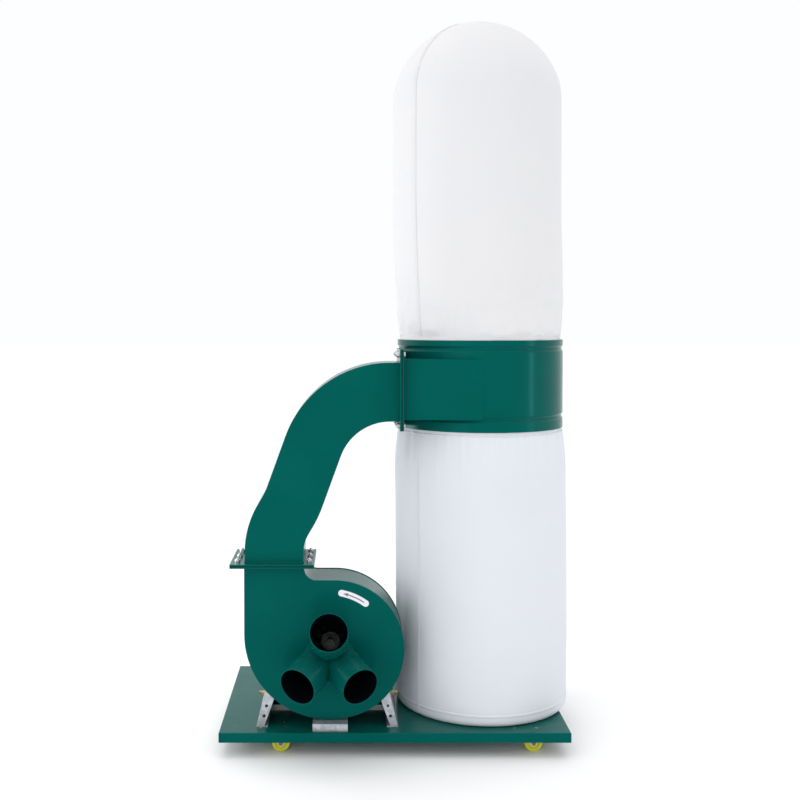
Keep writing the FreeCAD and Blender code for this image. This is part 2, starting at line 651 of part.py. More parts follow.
def make_stand():
    keep_out = prism(scroll_outline(-0.2), CASING_FRONT, CASING_BACK + 0.2)
    thick = STAND_SHEET / math.cos(math.radians(STAND_LEAN_DEG))
    top = STAND_TOP - STAND_SHEET
    for side, name in ((-1, "left"), (1, "right")):
        foot_x = stand_web_x(TRAY_TOP, side)
        top_x = stand_web_x(top, side)
        web = prism(polygon([(foot_x, TRAY_TOP), (top_x, top), (top_x - side * thick, top),
                             (foot_x - side * thick, TRAY_TOP)]), STAND_FRONT, STAND_BACK)
        x0, x1 = sorted((foot_x, foot_x - side * STAND_FOOT))
        foot = block(x0, x1, STAND_FRONT, STAND_BACK, TRAY_TOP, TRAY_TOP + STAND_SHEET)
        flange = prism(polygon([(foot_x, TRAY_TOP), (top_x, top), (top_x - side * STAND_FLANGE_TOP, top),
                                (foot_x - side * STAND_FLANGE, TRAY_TOP)]),
                       STAND_FRONT, STAND_FRONT + STAND_SHEET)
        holes = []
        for z in [TRAY_TOP + height for height in STAND_FRONT_HOLES]:
            x = stand_web_x(z, side) - side * STAND_FLANGE * 0.65
            holes.append(along_y(M8_HOLE_R, STAND_FRONT - 5, STAND_FRONT + 10, x, z))
        plate = fused(web, foot, flange).cut(holes + [keep_out])
        plate = plate.cut([rod(p + UP * (TRAY_TOP - 1), UP, M8_HOLE_R, 10) for p in stand_bolt_places()])
        cross = [rod(p - d * 20, d, M8_HOLE_R, 40) for p, d in leg_bolt_seats(side)]
        nodes["stand_side_plate_" + name] = plate.cut(cross)


def leg_bolt_seats(side):
    """Seats on the outer face of a side plate, and the inward direction at right angles to it."""
    lean = math.radians(STAND_LEAN_DEG)
    inward = vec(-side * math.cos(lean), 0, -math.sin(lean))
    for z in LEG_BOLT_Z:
        yield vec(stand_web_x(z, side), CASING_BACK + 22, z), inward


def make_motor_mount():
    """A top plate under the motor's feet, with a front apron almost down to the tray, and two side tabs."""
    lean = math.tan(math.radians(STAND_LEAN_DEG))
    thick = STAND_SHEET / math.cos(math.radians(STAND_LEAN_DEG))
    gap = thick + 0.3
    under = STAND_TOP - STAND_SHEET

    def inner_x(z, side):
        return stand_web_x(z, side) - side * gap

    apron_y = (CASING_BACK + 0.3, CASING_BACK + 0.3 + STAND_SHEET)
    half = STAND_HALF_FOOT - (STAND_TOP - TRAY_TOP) * lean
    plate = block(STAND_X - half, STAND_X + half, apron_y[0], STAND_BACK, under + 0.2, STAND_TOP)
    low = TRAY_TOP + APRON_CLEARANCE
    edge = polygon([(inner_x(low, -1), low), (inner_x(low, 1), low), (inner_x(under, 1), under + 1),
                    (inner_x(under, -1), under + 1)])
    apron = prism(edge, *apron_y)
    tabs = []
    for side in (-1, 1):
        tab = prism(polygon([(inner_x(low, side), low), (inner_x(under, side), under + 1),
                             (inner_x(under, side) - side * thick, under + 1),
                             (inner_x(low, side) - side * thick, low)]), apron_y[0], apron_y[0] + 45)
        tabs.append(tab)
    mount = plate.fuse([apron] + tabs)
    holes = [rod(p + UP * (under - 1), UP, M8_HOLE_R, 10) for p in motor_bolt_places()]
    for side in (-1, 1):
        holes += [rod(p - d * 20, d, M8_HOLE_R, 40) for p, d in leg_bolt_seats(side)]
    nodes["motor_mount_plate"] = mount.cut(holes).removeSplitter()

    cross = []
    for side in (-1, 1):
        for seat, inward in leg_bolt_seats(side):
            inside = seat + inward * (2 * STAND_SHEET + 0.3)
            cross.append(bolt(inside, -inward, 2 * STAND_SHEET + 0.3, 10.0))
    nodes["leg_bolts"] = group(cross)


def make_casing_bracket():
    """An inverted channel under the middle of the casing."""
    x0, x1 = BRACKET_X
    y0, y1 = BRACKET_Y
    sheet = STAND_SHEET
    outside = block(x0, x1, y0, y1, TRAY_TOP, BRACKET_TOP)
    inside = block(x0 - 1, x1 + 1, y0 + sheet, y1 - sheet, TRAY_TOP - 1, BRACKET_TOP - sheet)
    keep_out = prism(scroll_outline(-0.2), CASING_FRONT, CASING_BACK)
    nodes["casing_support_bracket"] = outside.cut([inside, keep_out])


# ---------------------------------------------------------------- duct

def duct_runs():
    """The duct's centre line as (kind, start, heading in degrees, data) and then its end point."""
    x = (OUTLET_LEFT + OUTLET_RIGHT) / 2
    z = OUTLET_TOP + 2 * FLANGE_SHEET + GASKET_SHEET
    heading = 90.0
    runs = []
    for step in DUCT_PATH:
        runs.append((step, (x, z), heading))
        angle = math.radians(heading)
        if step[0] == "straight":
            x += step[1] * math.cos(angle)
            z += step[1] * math.sin(angle)
            continue
        turn, radius = step[1], step[2]
        side = math.copysign(1.0, turn)
        centre = (x - side * radius * math.sin(angle), z + side * radius * math.cos(angle))
        heading += turn
        angle = math.radians(heading)
        x = centre[0] + side * radius * math.sin(angle)
        z = centre[1] - side * radius * math.cos(angle)
    return runs, (x, z)


def duct_side(offset, extend=0.0):
    """Edges of one long side, at offset to the left of the centre line, from the start to the end."""
    edges = []
    runs, _ = duct_runs()
    for index, (step, start, heading) in enumerate(runs):
        angle = math.radians(heading)
        across = (-math.sin(angle), math.cos(angle))
        first = (start[0] + offset * across[0], start[1] + offset * across[1])
        if step[0] == "straight":
            before = extend if index == 0 else 0.0
            after = extend if index == len(runs) - 1 else 0.0
            ahead = (math.cos(angle), math.sin(angle))
            a = (first[0] - before * ahead[0], first[1] - before * ahead[1])
            b = (first[0] + (step[1] + after) * ahead[0], first[1] + (step[1] + after) * ahead[1])
            edges.append(line(a, b))
            continue
        turn, radius = step[1], step[2]
        side = math.copysign(1.0, turn)
        centre = (start[0] + side * radius * across[0], start[1] + side * radius * across[1])
        start_deg = heading - side * 90.0
        edges.append(arc(centre, radius - side * offset, start_deg, start_deg + turn))
    return edges


def duct_solid(half, y0, y1, extend=0.0):
    left = duct_side(half, extend)
    right = duct_side(-half, extend)
    ends = []
    for edge in (0, -1):
        a = end_point(left[edge], edge)
        b = end_point(right[edge], edge)
        ends.append(Part.makeLine(a, b))
    wire = Part.Wire(Part.__sortEdges__(left + right + ends))
    return prism(wire, y0, y1)


def end_point(edge, which):
    """The start of the first edge, or the end of the last one."""
    return edge.valueAt(edge.FirstParameter if which == 0 else edge.LastParameter)


def make_duct():
    outer = duct_solid(DUCT_HALF, CASING_FRONT, CASING_BACK)
    inner = duct_solid(DUCT_HALF - DUCT_SHEET, CASING_FRONT + DUCT_SHEET, CASING_BACK - DUCT_SHEET, 5.0)
    nodes["swan_neck_duct"] = outer.cut(inner)
    gasket = OUTLET_TOP + FLANGE_SHEET
    nodes["duct_lower_flange"] = outlet_frame(gasket + GASKET_SHEET, gasket + GASKET_SHEET + FLANGE_SHEET)
    end_x = duct_runs()[1][0]
    nodes["duct_upper_flange"] = inlet_frame(end_x, end_x + FLANGE_SHEET, DUCT_HALF, DUCT_HALF)
    seal_x = end_x + FLANGE_SHEET
    nodes["flange_gaskets"] = group([outlet_frame(gasket, gasket + GASKET_SHEET),
                                     inlet_frame(seal_x, seal_x + GASKET_SHEET)])
    nodes["ring_inlet_flange"] = inlet_frame(seal_x + GASKET_SHEET, seal_x + GASKET_SHEET + FLANGE_SHEET)
    grip = 2 * FLANGE_SHEET + GASKET_SHEET
    bolts = [bolt(vec(p.x, p.y, OUTLET_TOP), UP, grip, 4.0) for p in outlet_bolt_places()]
    bolts += [bolt(vec(end_x + grip, p.y, p.z), -RIGHT, grip, 4.0) for p in inlet_bolt_places()]
    nodes["flange_bolts"] = group(bolts)


# ---------------------------------------------------------------- ring

def inlet_frame(x0, x1, low=RING_BOX_BELOW, high=RING_BOX_ABOVE):
    """The upright frame at the ring's inlet, open from low below the duct's middle to high above it."""
    z = duct_runs()[1][1]
    frame = block(x0, x1, CASING_FRONT - FLANGE_FRONT, CASING_BACK + FLANGE_FRONT,
                  z - DUCT_HALF - RING_FLANGE_BELOW, z + DUCT_HALF + RING_FLANGE_ABOVE)
    opening = block(x0 - 1, x1 + 1, CASING_FRONT + DUCT_SHEET, CASING_BACK - DUCT_SHEET,
                    z - low + DUCT_SHEET, z + high - DUCT_SHEET)
    holes = [rod(vec(x0 - 1, p.y, p.z), RIGHT, M8_HOLE_R, x1 - x0 + 2) for p in inlet_bolt_places()]
    return frame.cut([opening] + holes)


def inlet_bolt_places():
    z = duct_runs()[1][1]
    middle = (CASING_FRONT + CASING_BACK) / 2
    for height in (-DUCT_HALF - RING_FLANGE_BELOW / 2, DUCT_HALF + RING_FLANGE_ABOVE - 15):
        for y in (middle - FLANGE_BOLT_PITCH, middle, middle + FLANGE_BOLT_PITCH):
            yield vec(0, y, z + height)


def ring_profile():
    """Edges of the ring's wall section: sheet with a swaged groove near each rim."""
    groove_r = (GROOVE_HALF ** 2 + GROOVE_DEPTH ** 2) / (2 * GROOVE_DEPTH)
    centre_r = RING_R - GROOVE_DEPTH + groove_r
    inner_r = RING_R - RING_SHEET
    back_r = groove_r + RING_SHEET
    outer_deg = math.degrees(math.asin(GROOVE_HALF / groove_r))
    inner_deg = math.degrees(math.acos((centre_r - inner_r) / back_r))
    back_half = back_r * math.sin(math.radians(inner_deg))
    low, high = RING_BOTTOM + GROOVE_ABOVE_BOTTOM, RING_TOP - GROOVE_BELOW_TOP
    edges = [line((RING_R, RING_BOTTOM), (RING_R, low - GROOVE_HALF))]
    edges.append(arc((centre_r, low), groove_r, 180 + outer_deg, 180 - outer_deg))
    edges.append(line((RING_R, low + GROOVE_HALF), (RING_R, high - GROOVE_HALF)))
    edges.append(arc((centre_r, high), groove_r, 180 + outer_deg, 180 - outer_deg))
    edges.append(line((RING_R, high + GROOVE_HALF), (RING_R, RING_TOP)))
    edges.append(line((RING_R, RING_TOP), (inner_r, RING_TOP)))
    edges.append(line((inner_r, RING_TOP), (inner_r, high + back_half)))
    edges.append(arc((centre_r, high), back_r, 180 - inner_deg, 180 + inner_deg))
    edges.append(line((inner_r, high - back_half), (inner_r, low + back_half)))
    edges.append(arc((centre_r, low), back_r, 180 - inner_deg, 180 + inner_deg))
    edges.append(line((inner_r, low - back_half), (inner_r, RING_BOTTOM)))
    edges.append(line((inner_r, RING_BOTTOM), (RING_R, RING_BOTTOM)))
    return edges


def make_ring():
    end_x, z = duct_runs()[1]
    start_x = end_x + 2 * FLANGE_SHEET + GASKET_SHEET
    low, high = z - RING_BOX_BELOW, z + RING_BOX_ABOVE
    passage = block(start_x - 1, RING_X - BOX_REACH, CASING_FRONT + DUCT_SHEET, CASING_BACK - DUCT_SHEET,
                    low + DUCT_SHEET, high - DUCT_SHEET)
    nodes["separator_ring"] = revolved(ring_profile(), RING_X, 0).cut(passage)
    box = block(start_x, RING_X - BOX_REACH, CASING_FRONT, CASING_BACK, low, high)
    ring_body = rod(vec(RING_X, 0, RING_BOTTOM - 10), UP, RING_R, RING_TOP - RING_BOTTOM + 20)
    nodes["ring_inlet_box"] = box.cut([passage, ring_body])


# ---------------------------------------------------------------- bags

def make_bags():
    hem_in = BAG_HEM_R - BAG_WALL
    hem_low = RING_BOTTOM + 2
    bag_in = COLLECTION_R - BAG_WALL
    corner_in = BAG_CORNER - BAG_WALL
    corner_r = COLLECTION_R - BAG_CORNER
    edges = [
        line((0, BAG_BOTTOM), (corner_r, BAG_BOTTOM)),
        arc((corner_r, BAG_BOTTOM + BAG_CORNER), BAG_CORNER, -90, 0),
        line((COLLECTION_R, BAG_BOTTOM + BAG_CORNER), (COLLECTION_R, RING_BOTTOM - BAG_NECK)),
        line((COLLECTION_R, RING_BOTTOM - BAG_NECK), (BAG_HEM_R, RING_BOTTOM - 1)),
        line((BAG_HEM_R, RING_BOTTOM - 1), (BAG_HEM_R, hem_low + BAG_HEM_HEIGHT)),
        line((BAG_HEM_R, hem_low + BAG_HEM_HEIGHT), (hem_in, hem_low + BAG_HEM_HEIGHT)),
        line((hem_in, hem_low + BAG_HEM_HEIGHT), (hem_in, RING_BOTTOM - 1)),
        line((hem_in, RING_BOTTOM - 1), (bag_in, RING_BOTTOM - BAG_NECK)),
        line((bag_in, RING_BOTTOM - BAG_NECK), (bag_in, BAG_BOTTOM + BAG_CORNER)),
        arc((corner_r, BAG_BOTTOM + BAG_CORNER), corner_in, 0, -90),
        line((corner_r, BAG_BOTTOM + BAG_WALL), (0, BAG_BOTTOM + BAG_WALL)),
        line((0, BAG_BOTTOM + BAG_WALL), (0, BAG_BOTTOM)),
    ]
    nodes["collection_bag"] = revolved(edges, RING_X, 0)

    bag_in = BAG_R - BAG_WALL
    shoulder_x = BAG_R - BAG_SHOULDER_R
    rise = BAG_TOP - BAG_SHOULDER_Z
    crown_r = (rise ** 2 + shoulder_x ** 2 - BAG_SHOULDER_R ** 2) / (2 * (rise - BAG_SHOULDER_R))
    crown_z = BAG_TOP - crown_r
    meet = math.degrees(math.atan2(BAG_SHOULDER_Z - crown_z, shoulder_x))
    hem_high = RING_TOP - 2

    def dome(inset):
        return [arc((shoulder_x, BAG_SHOULDER_Z), BAG_SHOULDER_R - inset, 0, meet),
                arc((0, crown_z), crown_r - inset, meet, 90)]

    edges = [
        line((BAG_HEM_R, hem_high - BAG_HEM_HEIGHT), (BAG_HEM_R, RING_TOP + 1)),
        line((BAG_HEM_R, RING_TOP + 1), (BAG_R, RING_TOP + BAG_NECK)),
        line((BAG_R, RING_TOP + BAG_NECK), (BAG_R, BAG_SHOULDER_Z)),
        line((0, BAG_TOP), (0, BAG_TOP - BAG_WALL)),
        line((bag_in, BAG_SHOULDER_Z), (bag_in, RING_TOP + BAG_NECK)),
        line((bag_in, RING_TOP + BAG_NECK), (hem_in, RING_TOP + 1)),
        line((hem_in, RING_TOP + 1), (hem_in, hem_high - BAG_HEM_HEIGHT)),
        line((hem_in, hem_high - BAG_HEM_HEIGHT), (BAG_HEM_R, hem_high - BAG_HEM_HEIGHT)),
    ]
    edges += dome(0) + dome(BAG_WALL)
    nodes["filter_bag"] = revolved(Part.__sortEdges__(edges), RING_X, 0)

    hoop_out = hem_in - HOOP_GAP
    hoops = [pipe(vec(RING_X, 0, low), UP, hoop_out, hoop_out - HOOP_SHEET, BAG_HEM_HEIGHT)
             for low in (hem_low, hem_high - BAG_HEM_HEIGHT)]
    nodes["snap_hoops"] = group(hoops)


def write_nodes():
    os.makedirs("parts", exist_ok=True)
    for name, shape in sorted(nodes.items()):
        shape = shape.copy()
        shape.translate(ORIGIN_SHIFT)
        if not shape.isValid():
            print("not valid:", name)
        shape.exportStep("parts/" + name + ".step")
    print(len(nodes), "nodes")


make_tray()
for caster in caster_places():
    make_caster(*caster)
nodes["caster_plates"] = group(caster_plates)
make_base_bolts()
make_casing()
make_outlet_flange()
make_inlets()
make_direction_label()
make_impeller()
make_shaft()
make_motor()
make_stand()
make_motor_mount()
make_casing_bracket()
make_duct()
make_ring()
make_bags()
write_nodes()
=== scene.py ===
import json
import math

import bpy
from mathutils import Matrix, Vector, noise


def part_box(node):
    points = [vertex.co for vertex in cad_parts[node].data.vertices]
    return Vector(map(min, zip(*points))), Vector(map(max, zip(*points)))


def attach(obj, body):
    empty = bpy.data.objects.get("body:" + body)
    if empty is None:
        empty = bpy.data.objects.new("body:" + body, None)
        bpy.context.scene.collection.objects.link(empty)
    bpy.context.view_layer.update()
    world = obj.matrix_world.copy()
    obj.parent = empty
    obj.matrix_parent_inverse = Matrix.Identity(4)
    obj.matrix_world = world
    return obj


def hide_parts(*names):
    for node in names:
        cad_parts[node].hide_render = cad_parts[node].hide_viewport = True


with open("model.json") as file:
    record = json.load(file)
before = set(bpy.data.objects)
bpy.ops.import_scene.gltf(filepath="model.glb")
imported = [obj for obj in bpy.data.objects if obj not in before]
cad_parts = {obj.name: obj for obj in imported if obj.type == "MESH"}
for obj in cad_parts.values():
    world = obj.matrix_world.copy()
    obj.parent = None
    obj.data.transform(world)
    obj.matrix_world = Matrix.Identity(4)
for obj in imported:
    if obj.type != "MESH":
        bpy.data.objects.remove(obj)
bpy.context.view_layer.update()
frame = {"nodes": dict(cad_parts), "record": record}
NODES = frame["nodes"]
SLOT_OF = {s["node"]: s["material_slot"] for s in frame["record"]["subparts"]}
scene = bpy.context.scene

# Every length in this file is in metres.


# ---------------------------------------------------------------- material helpers

SHEEN_TINT = (0.10, 0.86, 0.80, 1.0)  # keeps white reflections from washing the green out
ENAMEL_DUST = (0.20, 0.28, 0.26)
ZINC_GREYS = ((0.0, (0.36, 0.39, 0.42)), (0.5, (0.44, 0.47, 0.50)), (1.0, (0.54, 0.56, 0.59)))
ZINC_STAIN = (0.31, 0.34, 0.36)


class Tree:
    """A material's node tree, with short ways to add the nodes used here."""

    def __init__(self, name):
        self.mat = bpy.data.materials.new(name)
        self.mat.use_nodes = True
        self.nodes = self.mat.node_tree.nodes
        self.shader = self.nodes["Principled BSDF"]
        self.object = self.add("ShaderNodeTexCoord").outputs["Object"]

    def add(self, kind, **values):
        node = self.nodes.new(kind)
        for key, value in values.items():
            setattr(node, key, value)
        return node

    def link(self, out, into):
        self.mat.node_tree.links.new(out, into)

    def stretched(self, scale, source=None):
        node = self.add("ShaderNodeMapping")
        node.inputs["Scale"].default_value = scale
        self.link(source or self.object, node.inputs["Vector"])
        return node.outputs["Vector"]

    def noise(self, scale, detail=3.0, rough=0.5, source=None):
        node = self.add("ShaderNodeTexNoise")
        node.inputs["Scale"].default_value = scale
        node.inputs["Detail"].default_value = detail
        node.inputs["Roughness"].default_value = rough
        self.link(source or self.object, node.inputs["Vector"])
        return node.outputs["Fac"]

    def cells(self, scale, feature="F1"):
        node = self.add("ShaderNodeTexVoronoi", feature=feature)
        node.inputs["Scale"].default_value = scale
        self.link(self.object, node.inputs["Vector"])
        return node

    def ramp(self, fac, *stops):
        """Colour stops as (position, colour)."""
        node = self.add("ShaderNodeValToRGB")
        ramp = node.color_ramp
        while len(ramp.elements) < len(stops):
            ramp.elements.new(0.5)
        for element, (position, colour) in zip(ramp.elements, stops):
            element.position = position
            element.color = tuple(colour) + (1.0,)
        self.link(fac, node.inputs["Fac"])
        return node.outputs["Color"]

    def spread(self, fac, low, high, start=0.3, end=0.7):
        """Maps start..end onto low..high."""
        node = self.add("ShaderNodeMapRange")
        node.inputs["From Min"].default_value = start
        node.inputs["From Max"].default_value = end
        node.inputs["To Min"].default_value = low
        node.inputs["To Max"].default_value = high
        self.link(fac, node.inputs["Value"])
        return node.outputs["Result"]

    def mix(self, fac, a, b):
        """Mixes two colours, each a tuple or a socket; fac is a number or a socket."""
        node = self.add("ShaderNodeMix", data_type="RGBA")
        for socket, value in ((node.inputs["Factor"], fac), (node.inputs["A"], a), (node.inputs["B"], b)):
            if isinstance(value, bpy.types.NodeSocket):
                self.link(value, socket)
            elif isinstance(value, tuple):
                socket.default_value = value + (1.0,)
            else:
                socket.default_value = value
        return node.outputs["Result"]

    def math(self, operation, a, b):
        node = self.add("ShaderNodeMath", operation=operation)
        for socket, value in zip(node.inputs, (a, b)):
            if isinstance(value, bpy.types.NodeSocket):
                self.link(value, socket)
            else:
                socket.default_value = value
        return node.outputs["Value"]

    def facing_up(self):
        """1 on surfaces that face straight up, 0 on upright ones."""
        node = self.add("ShaderNodeSeparateXYZ")
        self.link(self.add("ShaderNodeNewGeometry").outputs["Normal"], node.inputs["Vector"])
        return self.spread(node.outputs["Z"], 0.0, 1.0, 0.35, 0.95)

    def bump(self, height, strength, distance=0.001, after=None):
        node = self.add("ShaderNodeBump")
        node.inputs["Strength"].default_value = strength
        node.inputs["Distance"].default_value = distance
        self.link(height, node.inputs["Height"])
        if after is not None:
            self.link(after, node.inputs["Normal"])
        return node.outputs["Normal"]

    def finish(self, colour, rough, normal=None, metallic=0.0, **uniform):
        self.link(colour, self.shader.inputs["Base Color"])
        if isinstance(rough, bpy.types.NodeSocket):
            self.link(rough, self.shader.inputs["Roughness"])
        else:
            self.shader.inputs["Roughness"].default_value = rough
        if normal is not None:
            self.link(normal, self.shader.inputs["Normal"])
        self.shader.inputs["Metallic"].default_value = metallic
        for key, value in uniform.items():
            self.shader.inputs[key.replace("_", " ")].default_value = value
        return self.mat


def enamel(name, base, pale, peel, rough, shine=0.15):
    """Sprayed gloss enamel: orange peel, slight shade variation, rubbed patches and a little settled dust."""
    t = Tree(name)
    shade = t.spread(t.noise(5.0, 4.0), 0.0, 1.0, 0.35, 0.65)
    colour = t.mix(shade, base, pale)
    dust = t.math("MULTIPLY", t.facing_up(), t.spread(t.noise(28.0, 6.0, 0.65), 0.0, 0.05, 0.45, 0.75))
    colour = t.mix(dust, colour, ENAMEL_DUST)
    rubbed = t.noise(9.0, 5.0, 0.7)
    roughness = t.spread(rubbed, rough - 0.05, rough + 0.10, 0.3, 0.75)
    fine = t.bump(t.noise(420.0, 2.0), peel, 0.0006)
    normal = t.bump(t.noise(14.0, 2.0), 0.05, 0.002, fine)
    return t.finish(colour, roughness, normal, Specular_IOR_Level=shine, Specular_Tint=SHEEN_TINT)


def galvanised(name):
    """Hot-dip galvanised sheet: flat crystals of slightly different greys."""
    t = Tree(name)
    cell = t.cells(95.0)
    grain = t.add("ShaderNodeSeparateColor")
    t.link(cell.outputs["Color"], grain.inputs["Color"])
    colour = t.ramp(grain.outputs["Red"], *ZINC_GREYS)
    stain = t.spread(t.noise(18.0, 6.0, 0.6), 0.0, 0.5, 0.5, 0.8)
    colour = t.mix(stain, colour, ZINC_STAIN)
    roughness = t.spread(grain.outputs["Green"], 0.34, 0.55, 0.0, 1.0)
    normal = t.bump(cell.outputs["Distance"], 0.12, 0.0008)
    return t.finish(colour, roughness, normal, metallic=0.55)


def metal(name, dark, light, rough, scale=60.0, grain=0.1, stretch=(1.0, 1.0, 1.0), metallic=1.0):
    """Bare or plated metal with mottled shade and fine tooling marks along one direction."""
    t = Tree(name)
    source = t.stretched(stretch)
    mottle = t.noise(scale, 5.0, 0.6, source)
    colour = t.ramp(mottle, (0.3, dark), (0.7, light))
    roughness = t.spread(t.noise(scale * 3.0, 3.0, 0.5, source), rough - 0.08, rough + 0.12)
    normal = t.bump(t.noise(scale * 8.0, 2.0, 0.5, source), grain, 0.0004)
    return t.finish(colour, roughness, normal, metallic)


def moulded(name, base, pale, rough, scale=70.0, grain=0.15, specular=0.5):
    """Moulded plastic or rubber: soft mottling and a fine spark-eroded grain."""
    t = Tree(name)
    colour = t.mix(t.spread(t.noise(scale, 5.0, 0.6), 0.0, 1.0), base, pale)
    roughness = t.spread(t.noise(scale * 2.0, 4.0), rough - 0.06, rough + 0.12)
    normal = t.bump(t.noise(scale * 14.0, 2.0), grain, 0.0004)
    return t.finish(colour, roughness, normal, Specular_IOR_Level=specular)


def cloth(name, base, shaded, warm, weave, rough, sheen):
    """Plain-woven cloth on the bag's own length and girth, with slubs, faint soiling and a nap."""
    t = Tree(name)
    uv = t.add("ShaderNodeUVMap", uv_map="cloth").outputs["UV"]
    threads = []
    for direction in ("X", "Y"):
        wave = t.add("ShaderNodeTexWave", wave_type="BANDS", bands_direction=direction, wave_profile="SIN")
        wave.inputs["Scale"].default_value = weave
        wave.inputs["Distortion"].default_value = 0.6
        wave.inputs["Detail"].default_value = 1.0
        t.link(uv, wave.inputs["Vector"])
        threads.append(wave.outputs["Fac"])
    woven = t.math("MULTIPLY", threads[0], threads[1])
    slubs = t.noise(60.0, 4.0, 0.6, t.stretched((1.0, 7.0, 1.0), uv))
    cloud = t.noise(3.2, 5.0, 0.55)
    colour = t.mix(t.spread(cloud, 0.0, 1.0, 0.32, 0.68), base, shaded)
    colour = t.mix(t.spread(slubs, 0.0, 0.35, 0.5, 0.8), colour, warm)
    colour = t.mix(t.spread(woven, 0.0, 0.12, 0.2, 0.8), colour, shaded)
    fine = t.bump(woven, 0.25, 0.0005)
    normal = t.bump(slubs, 0.18, 0.0008, fine)
    return t.finish(colour, rough, normal, Specular_IOR_Level=0.25, Sheen_Weight=sheen, Sheen_Roughness=0.5)


GREEN = (0.0004, 0.077, 0.066)
GREEN_PALE = (0.0007, 0.087, 0.075)
MATERIALS = {
    "green_enamel": enamel("green_enamel", GREEN, GREEN_PALE, peel=0.06, rough=0.19),
    "motor_enamel": enamel("motor_enamel", (0.006, 0.085, 0.078), (0.010, 0.105, 0.096),
                           peel=0.30, rough=0.36),
    # Near black: painted shade for the dark space under the casing, between the stand's legs, where this
    # sheet stands.
    "black_enamel": enamel("black_enamel", (0.004, 0.006, 0.007), (0.007, 0.010, 0.011),
                           peel=0.20, rough=0.55, shine=0.05),
    "galvanised_sheet": galvanised("galvanised_sheet"),
    "zinc_plated_steel": metal("zinc_plated_steel", (0.50, 0.52, 0.54), (0.74, 0.75, 0.77),
                               rough=0.30, metallic=0.9),
    "yellow_zinc_steel": metal("yellow_zinc_steel", (0.58, 0.38, 0.14), (0.74, 0.62, 0.36),
                               rough=0.30, scale=120.0),
    "spring_steel": metal("spring_steel", (0.30, 0.31, 0.33), (0.46, 0.47, 0.49),
                          rough=0.34, scale=40.0, grain=0.1, stretch=(1, 1, 8)),
    "bright_steel": metal("bright_steel", (0.58, 0.58, 0.58), (0.76, 0.76, 0.76),
                          rough=0.20, scale=30.0, grain=0.12, stretch=(1, 14, 1)),
    "lamination_steel": metal("lamination_steel", (0.20, 0.21, 0.22), (0.40, 0.41, 0.42),
                              rough=0.48, scale=20.0, grain=0.5, stretch=(1, 60, 1)),
    # Near black: painted shade for the dark inside of the casing, seen through the inlets.
    "impeller_steel": metal("impeller_steel", (0.006, 0.006, 0.007), (0.016, 0.016, 0.017),
                            rough=0.55, scale=40.0, grain=0.3, metallic=0.4),
    "copper_wire": metal("copper_wire", (0.46, 0.17, 0.07), (0.74, 0.36, 0.17),
                         rough=0.32, scale=30.0, grain=0.8, stretch=(1, 10, 1)),
    # Aluminium darkened nearly to black: painted shade for the hub inside the dark casing.
    "cast_aluminium": metal("cast_aluminium", (0.05, 0.05, 0.052), (0.11, 0.11, 0.112),
                            rough=0.46, scale=110.0, grain=0.35, metallic=0.85),
    "gasket_rubber": moulded("gasket_rubber", (0.004, 0.010, 0.009), (0.009, 0.018, 0.016),
                             rough=0.80, specular=0.08),
    "black_plastic": moulded("black_plastic", (0.020, 0.020, 0.022), (0.036, 0.036, 0.038),
                             rough=0.48),
    "yellow_polyurethane": moulded("yellow_polyurethane", (0.62, 0.61, 0.020), (0.72, 0.71, 0.035),
                                   rough=0.42, scale=60.0, grain=0.2),
    "label_film": moulded("label_film", (0.78, 0.77, 0.82), (0.86, 0.85, 0.89),
                          rough=0.30, scale=40.0, grain=0.05),
    "green_button": moulded("green_button", (0.010, 0.24, 0.05), (0.018, 0.31, 0.08), rough=0.30),
    "red_button": moulded("red_button", (0.46, 0.012, 0.012), (0.58, 0.022, 0.020), rough=0.30),
    "filter_cloth": cloth("filter_cloth", (0.700, 0.694, 0.702), (0.676, 0.680, 0.700),
                          (0.695, 0.680, 0.675), weave=260.0, rough=0.88, sheen=0.25),
    "collection_cloth": cloth("collection_cloth", (0.675, 0.695, 0.735), (0.645, 0.668, 0.715),
                              (0.69, 0.69, 0.70), weave=200.0, rough=0.62, sheen=0.12),
}

# Materials that no slot of the record has: they go on pieces or on single nodes.
# Near black: painted shade for the dark inside of the inlet tubes, laid on their inner faces.
BORE_SHADE = moulded("bore_painted_shade", (0.0010, 0.0020, 0.0035), (0.0022, 0.0034, 0.0050),
                     rough=0.85, scale=50.0, grain=0.4, specular=0.03)
THREAD = moulded("thread", (0.66, 0.67, 0.71), (0.72, 0.73, 0.77),
                 rough=0.85, scale=300.0, specular=0.2)
ARROW_INK = moulded("arrow_ink", (0.17, 0.145, 0.25), (0.21, 0.18, 0.29), rough=0.35)
# Zinc darkened nearly to black: painted shade for the hub's screw and washer inside the dark inlet.
HUB_SHADE_ZINC = metal("zinc_painted_shade", (0.055, 0.058, 0.062), (0.135, 0.138, 0.142),
                   rough=0.45, scale=90.0, grain=0.3, metallic=0.6)
AXLE_STEEL = metal("axle_steel", (0.16, 0.14, 0.020), (0.25, 0.22, 0.035),
                   rough=0.50, scale=90.0, grain=0.2, metallic=0.5)

NODE_MATERIALS = {"hub_washer": HUB_SHADE_ZINC, "hub_screw": HUB_SHADE_ZINC}
for axle_name in NODES:
    if axle_name.startswith("caster_axle_"):
        NODE_MATERIALS[axle_name] = AXLE_STEEL

for node_name, node_object in NODES.items():
    node_object.data.materials.clear()
    node_object.data.materials.append(NODE_MATERIALS.get(node_name, MATERIALS[SLOT_OF[node_name]]))


# ---------------------------------------------------------------- mesh helpers

OBLIQUE = Vector((0.31, 0.52, 0.79))  # no line of beads runs along this


